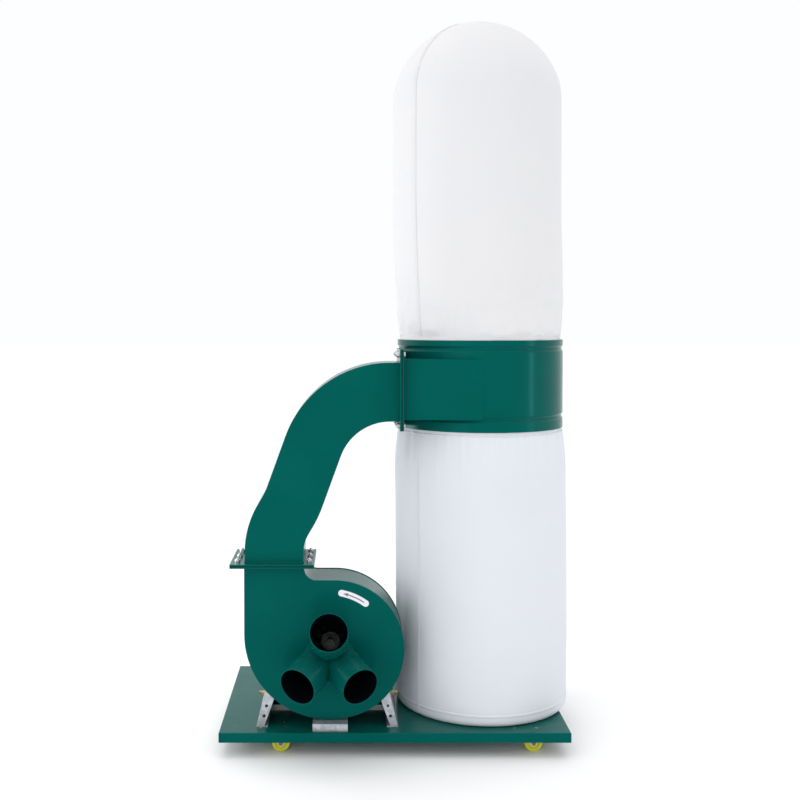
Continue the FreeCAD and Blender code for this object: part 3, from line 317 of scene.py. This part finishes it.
def piece(name, verts, faces, material, body, smooth=True):
    """A new mesh object that rides on a body. material is a slot's name, or a material."""
    mesh = bpy.data.meshes.new(name)
    mesh.from_pydata([tuple(v) for v in verts], [], faces)
    mesh.update()
    if smooth:
        mesh.polygons.foreach_set("use_smooth", [True] * len(mesh.polygons))
    obj = bpy.data.objects.new(name, mesh)
    scene.collection.objects.link(obj)
    mesh.materials.append(MATERIALS[material] if isinstance(material, str) else material)
    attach(obj, body)
    return obj


def tube_along(points, radius, closed=False, sides=8):
    """Vertices and faces of a round bead along a line of points. radius is one number or a list."""
    count = len(points)
    radii = radius if isinstance(radius, list) else [radius] * count
    verts, faces = [], []
    side = None
    for i, point in enumerate(points):
        before = points[i - 1] if (closed or i > 0) else point
        after = points[(i + 1) % count] if (closed or i < count - 1) else point
        along = (after - before).normalized()
        if side is None:
            side = along.cross(OBLIQUE).normalized()
        side = (side - along * side.dot(along)).normalized()
        other = along.cross(side)
        for k in range(sides):
            angle = 2 * math.pi * k / sides
            verts.append(point + (side * math.cos(angle) + other * math.sin(angle)) * radii[i])
    for i in range(count if closed else count - 1):
        a, b = i * sides, ((i + 1) % count) * sides
        for k in range(sides):
            n = (k + 1) % sides
            faces.append((a + k, b + k, b + n, a + n))
    if not closed:
        faces.append(tuple(range(sides - 1, -1, -1)))
        faces.append(tuple(range((count - 1) * sides, count * sides)))
    return verts, faces


def joined(parts):
    """Several (verts, faces) as one."""
    verts, faces = [], []
    for more, own in parts:
        base = len(verts)
        verts += list(more)
        faces += [tuple(i + base for i in face) for face in own]
    return verts, faces


def weld_bead(points, radius, closed=True, step=0.003, seed=1):
    """A hand-laid weld: a bead along the runs between points, rippled at each step."""
    thin, ripple, waver, waver_scale = 0.82, 0.22, 0.14, 90
    fine = []
    runs = list(zip(points, points[1:] + points[:1])) if closed else list(zip(points, points[1:]))
    for a, b in runs:
        pieces = max(1, int((b - a).length / step))
        fine += [a.lerp(b, i / pieces) for i in range(pieces)]
    if not closed:
        fine.append(points[-1])
    shift = Vector((seed, 0, 0))
    radii = [radius * (thin + ripple * (i % 2) + waver * noise.noise(p * waver_scale + shift))
             for i, p in enumerate(fine)]
    return tube_along(fine, radii, closed)


# ---------------------------------------------------------------- camera, light and floor

CAMERA_PLACE = (-0.136, -3.037, 1.1675)
CAMERA_DOWN_DEG = 1.04
CAMERA_SHIFT = (0.0625, -0.070)
LENS_MM, SENSOR_MM = 47.4, 36.0


def add_camera():
    """The photograph's point of view."""
    data = bpy.data.cameras.new("camera")
    data.lens = LENS_MM
    data.sensor_width = SENSOR_MM
    data.shift_x, data.shift_y = CAMERA_SHIFT
    camera = bpy.data.objects.new("camera", data)
    camera.location = CAMERA_PLACE
    camera.rotation_euler = (math.radians(90.0 - CAMERA_DOWN_DEG), 0.0, 0.0)
    scene.collection.objects.link(camera)
    scene.camera = camera


WHITE = (1.0, 1.0, 1.0)
SOFTBOXES = (  # name, place, aim, size, watts, colour
    ("top_softbox", (-0.4, 0.2, 4.4), (0.0, 0.0, 0.5), (2.6, 2.4), 6.0, WHITE),
    ("left_softbox", (-4.0, -2.4, 2.4), (0.0, 0.0, 1.0), (2.0, 2.4), 25.0, (1.0, 0.985, 0.965)),
    ("right_strip", (2.85, -1.15, 1.3), (0.25, 0.0, 1.1), (0.07, 1.5), 8.0, WHITE),
    ("front_left_fill", (-1.8, -3.0, 1.0), (0.1, 0.0, 0.6), (1.6, 1.6), 9.0, WHITE),
    ("rear_left_fill", (-1.6, 0.75, 0.55), (0.2, 0.0, 0.6), (0.8, 0.8), 8.0, WHITE),
    ("front_high_spot", (-1.2, -3.2, 3.4), (0.0, 0.0, 0.8), (0.25, 0.25), 5.0, WHITE),
)
SUN_STRENGTH = 0.55
SUN_ANGLE = math.radians(60.0)
WORLD_COLOUR = (0.985, 0.99, 1.0, 1.0)
FLOOR_REACH = 60.0
FLOOR_SHADES = ((0.3, (0.87, 0.87, 0.875)), (0.7, (0.89, 0.89, 0.895)))


def softbox(name, place, aim, size, power, colour):
    data = bpy.data.lights.new(name, "AREA")
    data.shape = "RECTANGLE"
    data.size, data.size_y = size
    data.energy = power
    data.color = colour
    light = bpy.data.objects.new(name, data)
    light.location = place
    light.rotation_euler = (Vector(aim) - Vector(place)).to_track_quat("-Z", "Y").to_euler()
    scene.collection.objects.link(light)


def add_studio():
    for row in SOFTBOXES:
        softbox(*row)
    sun = bpy.data.lights.new("overhead_sun", "SUN")
    sun.energy = SUN_STRENGTH
    sun.angle = SUN_ANGLE
    scene.collection.objects.link(bpy.data.objects.new("overhead_sun", sun))
    world = bpy.data.worlds.new("studio")
    world.use_nodes = True
    background = world.node_tree.nodes["Background"]
    background.inputs["Color"].default_value = WORLD_COLOUR
    background.inputs["Strength"].default_value = 1.0
    scene.world = world
    scene.view_settings.view_transform = "Standard"


def add_floor():
    t = Tree("studio_floor")
    colour = t.ramp(t.noise(1.3, 4.0), *FLOOR_SHADES)
    material = t.finish(colour, 0.9, t.bump(t.noise(300.0, 2.0), 0.04, 0.0004), Specular_IOR_Level=0.1)
    mesh = bpy.data.meshes.new("floor")
    corners = [(x * FLOOR_REACH, y * FLOOR_REACH, 0.0) for x, y in ((-1, -1), (1, -1), (1, 1), (-1, 1))]
    mesh.from_pydata(corners, [], [(0, 1, 2, 3)])
    mesh.materials.append(material)
    floor = bpy.data.objects.new("floor", mesh)
    scene.collection.objects.link(floor)


add_camera()
add_studio()
add_floor()


# ---------------------------------------------------------------- inlets, welds and label

SPIGOTS = {m["name"].rsplit("_", 1)[1]: m for m in frame["record"]["mounts"]
           if m["name"].startswith("hose_spigot_")}
FRONT_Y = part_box("casing_front_plate")[0].y
HALF_SECTOR = math.radians(60.0)
BORE_GAP = 0.0018  # the bore's radius is this much under the tube's
BORE_START = 0.002  # behind the mouth
RIM_R = 0.0009
RIM_GAP = 0.0008  # the rim's middle is this much inside the tube's radius
WELD_R = 0.0022
WELD_STEPS = 180
DUCT_WELD_LIFT = 0.0008
FOOT_BAND = 0.001  # vertices this close to the duct's lowest one are its foot
ARROW_START, ARROW_END, ARROW_TIP = 0.16, 0.30, 0.15  # shares of the label's arc
ARROW_HALF, ARROW_HEAD_HALF = 0.0014, 0.0048
ARROW_LIFT = 0.00025
ARROW_STEPS = 24


def spigot(name):
    """Middle of the mouth, outward axis, and two directions across it."""
    mount = SPIGOTS[name]
    axis = Vector(mount["axis"]).normalized()
    mouth = Vector(mount["pos_m"]) + axis * mount["dims"]["length_mm"] / 2000
    across = axis.cross(Vector((0.0, 1.0, 0.0))).normalized()
    return mouth, axis, across, axis.cross(across)


MOUTHS = {name: spigot(name)[0] for name in SPIGOTS}
FAN = sum(MOUTHS.values(), Vector()) / len(MOUTHS)
TUBE_R = SPIGOTS["top"]["dims"]["r_mm"] / 1000


def in_sector(name, point):
    """True on the third of the fan's front that one inlet has to itself."""
    own = math.atan2(MOUTHS[name].z - FAN.z, MOUTHS[name].x - FAN.x)
    turn = math.atan2(point.z - FAN.z, point.x - FAN.x) - own
    return abs(math.remainder(turn, 2 * math.pi)) <= HALF_SECTOR


def make_bore(name, sides=96, steps=48):
    """The near-black inner face of one inlet, back to the casing, as painted shade for the dark inside of the
    tube, and the rounded edge of its mouth.
    """
    mouth, axis, u, v = spigot(name)
    radius = TUBE_R - BORE_GAP
    length = (mouth.y - FRONT_Y) / axis.y
    verts, faces = [], []
    for i in range(steps + 1):
        middle = mouth - axis * (BORE_START + (length - BORE_START) * i / steps)
        for k in range(sides):
            angle = 2 * math.pi * k / sides
            verts.append(middle + (u * math.cos(angle) + v * math.sin(angle)) * radius)
    for i in range(steps):
        for k in range(sides):
            a, n = i * sides + k, i * sides + (k + 1) % sides
            face = (a, n, n + sides, a + sides)
            if all(in_sector(name, verts[corner]) for corner in face):
                faces.append(face)
    piece("inlet_bore_" + name, verts, faces, BORE_SHADE, "machine")
    rim = [mouth - axis * RIM_R + (u * math.cos(a) + v * math.sin(a)) * (TUBE_R - RIM_GAP)
           for a in (2 * math.pi * k / sides for k in range(sides))]
    piece("inlet_rim_" + name, *tube_along(rim, RIM_R, True), "green_enamel", "machine")


def make_inlet_weld(name, seed):
    """The bead where one inlet meets the casing's front plate."""
    mouth, axis, u, v = spigot(name)
    line = []
    for k in range(WELD_STEPS):
        angle = 2 * math.pi * k / WELD_STEPS
        point = mouth + (u * math.cos(angle) + v * math.sin(angle)) * TUBE_R
        point -= axis * (point.y - FRONT_Y) / axis.y
        line.append(point)
    inside = [in_sector(name, point) for point in line]
    first = next(k for k in range(WELD_STEPS) if inside[k] and not inside[k - 1])
    order = [(first + k) % WELD_STEPS for k in range(WELD_STEPS)]
    arc = [line[k] for k in order if inside[k]]
    piece("inlet_weld_" + name, *weld_bead(arc, WELD_R, False, seed=seed), "green_enamel", "machine")


def make_duct_weld():
    """The bead round the foot of the duct, on its lower flange."""
    co = [v.co for v in NODES["swan_neck_duct"].data.vertices]
    floor_z = min(c.z for c in co)
    foot = [c for c in co if c.z < floor_z + FOOT_BAND]
    x0, x1 = min(c.x for c in foot), max(c.x for c in foot)
    y0, y1 = min(c.y for c in foot), max(c.y for c in foot)
    z = max(floor_z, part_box("duct_lower_flange")[1].z) + DUCT_WELD_LIFT
    corners = [Vector((x0, y0, z)), Vector((x1, y0, z)), Vector((x1, y1, z)), Vector((x0, y1, z))]
    piece("duct_foot_weld", *weld_bead(corners, WELD_R, seed=9), "green_enamel", "machine")


def make_direction_arrow():
    """A curved arrow printed on the label, showing which way the fan turns."""
    points = [v.co for v in NODES["direction_label"].data.vertices]
    radii = [math.hypot(p.x - FAN.x, p.z - FAN.z) for p in points]
    turns = [math.atan2(p.z - FAN.z, p.x - FAN.x) for p in points]
    middle = (min(radii) + max(radii)) / 2
    arc = max(turns) - min(turns)
    start = min(turns) + ARROW_START * arc
    end = max(turns) - ARROW_END * arc
    tip = end + ARROW_TIP * arc
    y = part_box("direction_label")[0].y - ARROW_LIFT

    def on_label(radius, turn):
        return Vector((FAN.x + radius * math.cos(turn), y, FAN.z + radius * math.sin(turn)))

    verts, faces = [], []
    for i in range(ARROW_STEPS + 1):
        turn = start + (end - start) * i / ARROW_STEPS
        verts += [on_label(middle - ARROW_HALF, turn), on_label(middle + ARROW_HALF, turn)]
    for i in range(ARROW_STEPS):
        a = 2 * i
        faces.append((a, a + 1, a + 3, a + 2))
    base = len(verts)
    verts += [on_label(middle - ARROW_HEAD_HALF, end), on_label(middle + ARROW_HEAD_HALF, end),
              on_label(middle, tip)]
    faces.append((base, base + 1, base + 2))
    piece("label_arrow", verts, faces, ARROW_INK, "machine", smooth=False)


for seed, inlet in enumerate(SPIGOTS):
    make_bore(inlet)
    make_inlet_weld(inlet, seed)
make_duct_weld()
make_direction_arrow()


# ---------------------------------------------------------------- bags

RING_LOW, RING_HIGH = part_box("separator_ring")
RING_BOTTOM, RING_TOP = RING_LOW.z, RING_HIGH.z
FILTER_LOW, FILTER_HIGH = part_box("filter_bag")
COLLECT_LOW, COLLECT_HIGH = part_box("collection_bag")
BAG_CENTRE = (FILTER_LOW + FILTER_HIGH) / 2
BAG_R = (FILTER_HIGH.x - FILTER_LOW.x) / 2
GIRTH_COUNT = 144
SEAM_DEG = 219.0  # where column 0 of a bag, and so its side seam, is

# The profile from the ring out: the hem inside it, then the cloth swelling to the bag's radius.
HEM_R = 0.2368 - 0.0012
HEM_DEPTHS = (0.012, 0.006, 0.001)  # how far inside the ring's edge each row of the hem is
HEM_ROWS = len(HEM_DEPTHS)  # these stay pinned
WALL_INSET = 0.0005  # the cloth stays this far inside the CAD bag's wall
SWELL = ((0.003, 0.018), (WALL_INSET, 0.034))  # (inside the bag's radius, beyond the ring's edge)

SHOULDER_R, SHOULDER_Z = 0.170, 1.825
SHOULDER_APPROACH = 0.10
DOME_INSET = 0.001
FILTER_SPACING = 0.0125
FILTER_SEAM_STOP = 5  # rows short of the crown

CORNER_R = 0.020
CORNER_APPROACH = 0.05
BASE_LIFT = 0.0008
BASE_HELD = 0.004  # rows this close to the base stay pinned
BASE_GAP = 0.0003
BASE_SEAM_RISE = 0.012
COLLECT_SPACING = 0.0115

# The cloth simulation.
SIM_FRAMES = 20
FIRST_WRINKLE = 0.002
WRINKLES_ACROSS, WRINKLES_ALONG = 9, 4
GRAVITY_SHARE = 0.15
CLOTH_SETTINGS = {
    "quality": 6,
    "mass": 0.25,
    "tension_stiffness": 30.0,
    "compression_stiffness": 30.0,
    "shear_stiffness": 8.0,
    "bending_stiffness": 0.35,
    "tension_damping": 12.0,
    "compression_damping": 12.0,
    "shear_damping": 12.0,
    "air_damping": 3.0,
    "vertex_group_mass": "pin",
    "pin_stiffness": 1.0,
    "shrink_min": -0.012,  # negative, so that the cloth may grow by this share
    "use_pressure": True,
    "uniform_pressure_force": 2.2,
}

PLEAT_DEPTH = 0.0035
PLEATS_ROUND, PLEATS_ALONG, PLEAT_FADE = 7, 2.0, 0.6
PLAIN_ROWS = 2  # rows of the hem that the pleats leave alone

SEAM_HEIGHT = 0.0016
SEAM_SECTION = ((-0.5, 0.0), (-0.46, 0.0011), (0.0, SEAM_HEIGHT), (0.46, 0.0011), (0.5, 0.0))
SEAM_LIFT = 0.0002
SEAM_UV_ROW = 0.01
SIDE_SEAM = {"width": 0.010, "stitch_rows": (-0.0032, 0.0032), "relief": 0.3}
HEM_SEAM = {"width": 0.004, "stitch_rows": (0.0,), "relief": 0.4}
BASE_SEAM = {"width": 0.009, "stitch_rows": (), "relief": 0.25}
STITCH_LIFT = 0.0001
STITCH_PITCH = 0.0045
STITCH_SHARE = 0.68  # of the pitch
STITCH_R = 0.00055
STITCH_SIDES = 5
STITCH_BULGE = 0.0005
SHORTEST_STITCH = 0.001


def arc_points(centre, radius, start, end, count):
    """Points on an arc as (r, z), angles in degrees."""
    out = []
    for i in range(count + 1):
        angle = math.radians(start + (end - start) * i / count)
        out.append((centre[0] + radius * math.cos(angle), centre[1] + radius * math.sin(angle)))
    return out


def evenly(profile, spacing):
    """The (r, z) line cut again at even steps."""
    lengths = [0.0]
    for a, b in zip(profile, profile[1:]):
        lengths.append(lengths[-1] + math.dist(a, b))
    steps = max(2, round(lengths[-1] / spacing))
    out = []
    i = 0
    for k in range(steps + 1):
        goal = lengths[-1] * k / steps
        while i < len(lengths) - 2 and lengths[i + 1] < goal:
            i += 1
        part = (goal - lengths[i]) / (lengths[i + 1] - lengths[i])
        a, b = profile[i], profile[i + 1]
        out.append((a[0] + (b[0] - a[0]) * part, a[1] + (b[1] - a[1]) * part))
    return out


def hem_profile(radius, level, way):
    """A bag's first points, from inside the ring out to full width; way is 1 going up, -1 down."""
    hem = [(HEM_R, level - way * depth) for depth in (HEM_DEPTHS[0], HEM_DEPTHS[-1])]
    return hem + [(radius - inset, level + way * beyond) for inset, beyond in SWELL]


def cut_rows(profile, level, way, spacing):
    """The profile as rows of the mesh: HEM_ROWS for the hem, then even steps."""
    hem = [(HEM_R, level - way * depth) for depth in HEM_DEPTHS]
    return hem + evenly(profile[1:], spacing)[1:]


def bag_mesh(name, profile, material):
    """A closed-ended bag turned about the ring's axis, from its hem to the middle of its end."""
    rows = profile[:-1]
    girth = 2 * math.pi * BAG_R
    verts, uv_of = [], []
    length = 0.0
    for j, (r, z) in enumerate(rows):
        if j:
            length += math.dist(rows[j - 1], rows[j])
        for k in range(GIRTH_COUNT):
            angle = math.radians(SEAM_DEG) + 2 * math.pi * k / GIRTH_COUNT
            verts.append(Vector((BAG_CENTRE.x + r * math.cos(angle), BAG_CENTRE.y + r * math.sin(angle), z)))
            uv_of.append((girth * k / GIRTH_COUNT, length))
    pole = len(verts)
    verts.append(Vector((BAG_CENTRE.x, BAG_CENTRE.y, profile[-1][1])))
    uv_of.append((0.0, length + math.dist(rows[-1], profile[-1])))
    upward = profile[-1][1] > profile[0][1]
    faces = []
    for j in range(len(rows) - 1):
        for k in range(GIRTH_COUNT):
            n = (k + 1) % GIRTH_COUNT
            a, b = j * GIRTH_COUNT, (j + 1) * GIRTH_COUNT
            face = (a + k, a + n, b + n, b + k)
            faces.append(face if upward else face[::-1])
    last = (len(rows) - 1) * GIRTH_COUNT
    for k in range(GIRTH_COUNT):
        n = (k + 1) % GIRTH_COUNT
        face = (last + k, last + n, pole)
        faces.append(face if upward else face[::-1])
    obj = piece(name, verts, faces, material, "machine")
    layer = obj.data.uv_layers.new(name="cloth")
    for poly in obj.data.polygons:
        us = [uv_of[v][0] for v in poly.vertices]
        wrap = max(us) - min(us) > girth / 2
        for loop, v in zip(poly.loop_indices, poly.vertices):
            u, w = uv_of[v]
            layer.data[loop].uv = (u + girth if wrap and u < girth / 2 else u, w)
    return obj, len(rows)


def inflate(obj, pinned, cap, seed):
    """Blows the bag up as cloth, its pinned vertices held and each point within cap of its start."""
    start = [v.co.copy() for v in obj.data.vertices]
    for i, v in enumerate(obj.data.vertices):
        if i in pinned:
            continue
        out = Vector((v.co.x - BAG_CENTRE.x, v.co.y - BAG_CENTRE.y, 0.0))
        if out.length > 1e-6:
            out.normalize()
        where = Vector((v.co.x * WRINKLES_ACROSS + seed, v.co.y * WRINKLES_ACROSS,
                        v.co.z * WRINKLES_ALONG))
        v.co += out * FIRST_WRINKLE * noise.noise(where)
    group = obj.vertex_groups.new(name="pin")
    group.add(sorted(pinned), 1.0, "REPLACE")
    modifier = obj.modifiers.new("cloth", "CLOTH")
    settings = modifier.settings
    for key, value in CLOTH_SETTINGS.items():
        setattr(settings, key, value)
    settings.effector_weights.gravity = GRAVITY_SHARE
    modifier.collision_settings.use_collision = False
    modifier.point_cache.frame_start = 1
    modifier.point_cache.frame_end = SIM_FRAMES
    for number in range(1, SIM_FRAMES + 1):
        scene.frame_set(number)
    graph = bpy.context.evaluated_depsgraph_get()
    shape = obj.evaluated_get(graph).to_mesh()
    moved = [v.co.copy() for v in shape.vertices]
    obj.evaluated_get(graph).to_mesh_clear()
    obj.modifiers.remove(modifier)
    obj.vertex_groups.remove(group)
    scene.frame_set(1)
    for v, a, b in zip(obj.data.vertices, start, moved):
        step = b - a
        if step.length > cap:
            step *= cap / step.length
        v.co = a + step


def gather(obj, rows, level, reach, seed):
    """Soft pleats where the cloth is drawn in to the ring at level, fading out along the bag."""
    for j in range(rows):
        for k in range(GIRTH_COUNT):
            v = obj.data.vertices[j * GIRTH_COUNT + k]
            z = abs(v.co.z - level)
            if z > reach or j < PLAIN_ROWS:
                continue
            angle = 2 * math.pi * k / GIRTH_COUNT
            wave = noise.noise(Vector((math.cos(angle) * PLEATS_ROUND + seed,
                                       math.sin(angle) * PLEATS_ROUND, z * PLEATS_ALONG)))
            fade = math.sin(math.pi * min(1.0, z / reach) ** PLEAT_FADE)
            out = Vector((v.co.x - BAG_CENTRE.x, v.co.y - BAG_CENTRE.y, 0.0)).normalized()
            v.co += out * PLEAT_DEPTH * wave * fade


def lean(obj, level, shift, over):
    """Moves the cloth sideways, easing in with the distance from the ring."""
    for v in obj.data.vertices:
        part = min(1.0, max(0.0, abs(v.co.z - level) / over))
        v.co.x += shift * part * part * (3 - 2 * part)


def draw_up(obj, level, top):
    """Stretches the filled bag back to its full height above level."""
    highest = max(v.co.z for v in obj.data.vertices)
    for v in obj.data.vertices:
        if v.co.z > level:
            v.co.z = level + (v.co.z - level) * (top - level) / (highest - level)


def seam_strip(name, line_of, material, width, stitch_rows, relief):
    """A felled seam and its stitches, along a line of (point, outward normal, sideways)."""
    verts, faces = [], []
    count = len(line_of)
    for point, out, side in line_of:
        for across, height in SEAM_SECTION:
            verts.append(point + side * across * width + out * (height * relief + SEAM_LIFT))
    n = len(SEAM_SECTION)
    for i in range(count - 1):
        for k in range(n - 1):
            a, b = i * n + k, (i + 1) * n + k
            faces.append((a, a + 1, b + 1, b))
    seam = piece(name, verts, faces, material, "machine")
    uv = seam.data.uv_layers.new(name="cloth")
    for poly in seam.data.polygons:
        for loop, v in zip(poly.loop_indices, poly.vertices):
            row, column = divmod(v, n)
            uv.data[loop].uv = (column * width / n, row * SEAM_UV_ROW)
    beads = []
    lift = SEAM_HEIGHT * relief + STITCH_LIFT
    for offset in stitch_rows:
        travelled = 0.0
        for (a, out_a, side_a), (b, out_b, side_b) in zip(line_of, line_of[1:]):
            length = (b - a).length
            while travelled < length:
                part = travelled / length
                end = min(1.0, (travelled + STITCH_PITCH * STITCH_SHARE) / length)
                p = a.lerp(b, part) + side_a * offset + out_a * lift
                q = a.lerp(b, end) + side_a * offset + out_a * lift
                if (q - p).length > SHORTEST_STITCH:
                    top = p.lerp(q, 0.5) + out_a * STITCH_BULGE
                    beads.append(tube_along([p, top, q], STITCH_R, sides=STITCH_SIDES))
                travelled += STITCH_PITCH
            travelled -= length
    if beads:
        piece(name + "_stitches", *joined(beads), THREAD, "machine")


def column_line(obj, last):
    """Points up column 0 of the bag, from the hem to row last, each with its normal and sideways."""
    obj.data.update()
    normals = obj.data.vertex_normals
    out = []
    for j in range(HEM_ROWS, last):
        i = j * GIRTH_COUNT
        normal = Vector(normals[i].vector)
        side = obj.data.vertices[i + 1].co - obj.data.vertices[i].co
        side = (side - normal * side.dot(normal)).normalized()
        out.append((obj.data.vertices[i].co.copy(), normal, side))
    return out


def ring_line(obj, row):
    """Points right round one row of the bag, closed, each with its normal and along the bag."""
    obj.data.update()
    normals = obj.data.vertex_normals
    out = []
    for k in list(range(GIRTH_COUNT)) + [0]:
        i = row * GIRTH_COUNT + k
        normal = Vector(normals[i].vector)
        up = obj.data.vertices[i + GIRTH_COUNT].co - obj.data.vertices[i - GIRTH_COUNT].co
        up = (up - normal * up.dot(normal)).normalized()
        out.append((obj.data.vertices[i].co.copy(), normal, up))
    return out


def soften(obj):
    """One subdivision, left on as a modifier."""
    modifier = obj.modifiers.new("smooth", "SUBSURF")
    modifier.levels = modifier.render_levels = 1


def add_side_and_hem_seams(bag, name, material, last):
    seam_strip(name + "_side_seam", column_line(bag, last), material, **SIDE_SEAM)
    seam_strip(name + "_hem_seam", ring_line(bag, HEM_ROWS), material, **HEM_SEAM)


def make_filter_bag():
    """The upper bag: a tube under a shoulder arc that runs into a flatter crown."""
    top = FILTER_HIGH.z
    shoulder_x = BAG_R - SHOULDER_R
    rise = top - SHOULDER_Z
    crown_r = (rise ** 2 + shoulder_x ** 2 - SHOULDER_R ** 2) / (2 * (rise - SHOULDER_R))
    crown_z = top - crown_r
    meet = math.degrees(math.atan2(SHOULDER_Z - crown_z, shoulder_x))
    profile = hem_profile(BAG_R, RING_TOP, 1)
    profile.append((BAG_R - WALL_INSET, SHOULDER_Z - SHOULDER_APPROACH))
    profile += arc_points((shoulder_x, SHOULDER_Z), SHOULDER_R - DOME_INSET, 0, meet, count=16)
    profile += arc_points((0.0, crown_z), crown_r - DOME_INSET, meet, 90, count=8)[1:]
    cut = cut_rows(profile, RING_TOP, 1, FILTER_SPACING)
    bag, rows = bag_mesh("filter_bag_cloth", cut, "filter_cloth")
    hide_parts("filter_bag")
    inflate(bag, set(range(HEM_ROWS * GIRTH_COUNT)), cap=0.009, seed=2.0)
    gather(bag, rows, RING_TOP, reach=0.16, seed=8.0)
    draw_up(bag, RING_TOP, top - DOME_INSET)
    lean(bag, RING_TOP, shift=-0.010, over=0.42)
    add_side_and_hem_seams(bag, "filter_bag", "filter_cloth", rows - FILTER_SEAM_STOP)
    soften(bag)


def make_collection_bag():
    """The lower bag: a tube with a flat base that rests on the tray."""
    bottom = COLLECT_LOW.z
    radius = (COLLECT_HIGH.x - COLLECT_LOW.x) / 2
    profile = hem_profile(radius, RING_BOTTOM, -1)
    profile.append((radius - WALL_INSET, bottom + CORNER_R + CORNER_APPROACH))
    profile += arc_points((radius - CORNER_R, bottom + CORNER_R), CORNER_R - WALL_INSET, 0, -90, count=5)
    profile.append((0.0, bottom + BASE_LIFT))
    cut = cut_rows(profile, RING_BOTTOM, -1, COLLECT_SPACING)
    bag, rows = bag_mesh("collection_bag_cloth", cut, "collection_cloth")
    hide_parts("collection_bag")
    held = set(range(HEM_ROWS * GIRTH_COUNT)) | {len(bag.data.vertices) - 1}
    for j, (_, z) in enumerate(cut[:-1]):
        if z < bottom + BASE_HELD:
            held |= set(range(j * GIRTH_COUNT, (j + 1) * GIRTH_COUNT))
    inflate(bag, held, cap=0.008, seed=4.0)
    gather(bag, rows, RING_BOTTOM, reach=0.14, seed=3.0)
    lean(bag, RING_BOTTOM, shift=0.005, over=0.6)
    for v in bag.data.vertices:
        v.co.z = max(v.co.z, bottom + BASE_GAP)
    last = [i for i, (_, z) in enumerate(cut) if z > bottom + BASE_SEAM_RISE][-1]
    add_side_and_hem_seams(bag, "collection_bag", "collection_cloth", last)
    seam_strip("collection_bag_base_seam", ring_line(bag, last - 2), "collection_cloth", **BASE_SEAM)
    soften(bag)


make_filter_bag()
make_collection_bag()
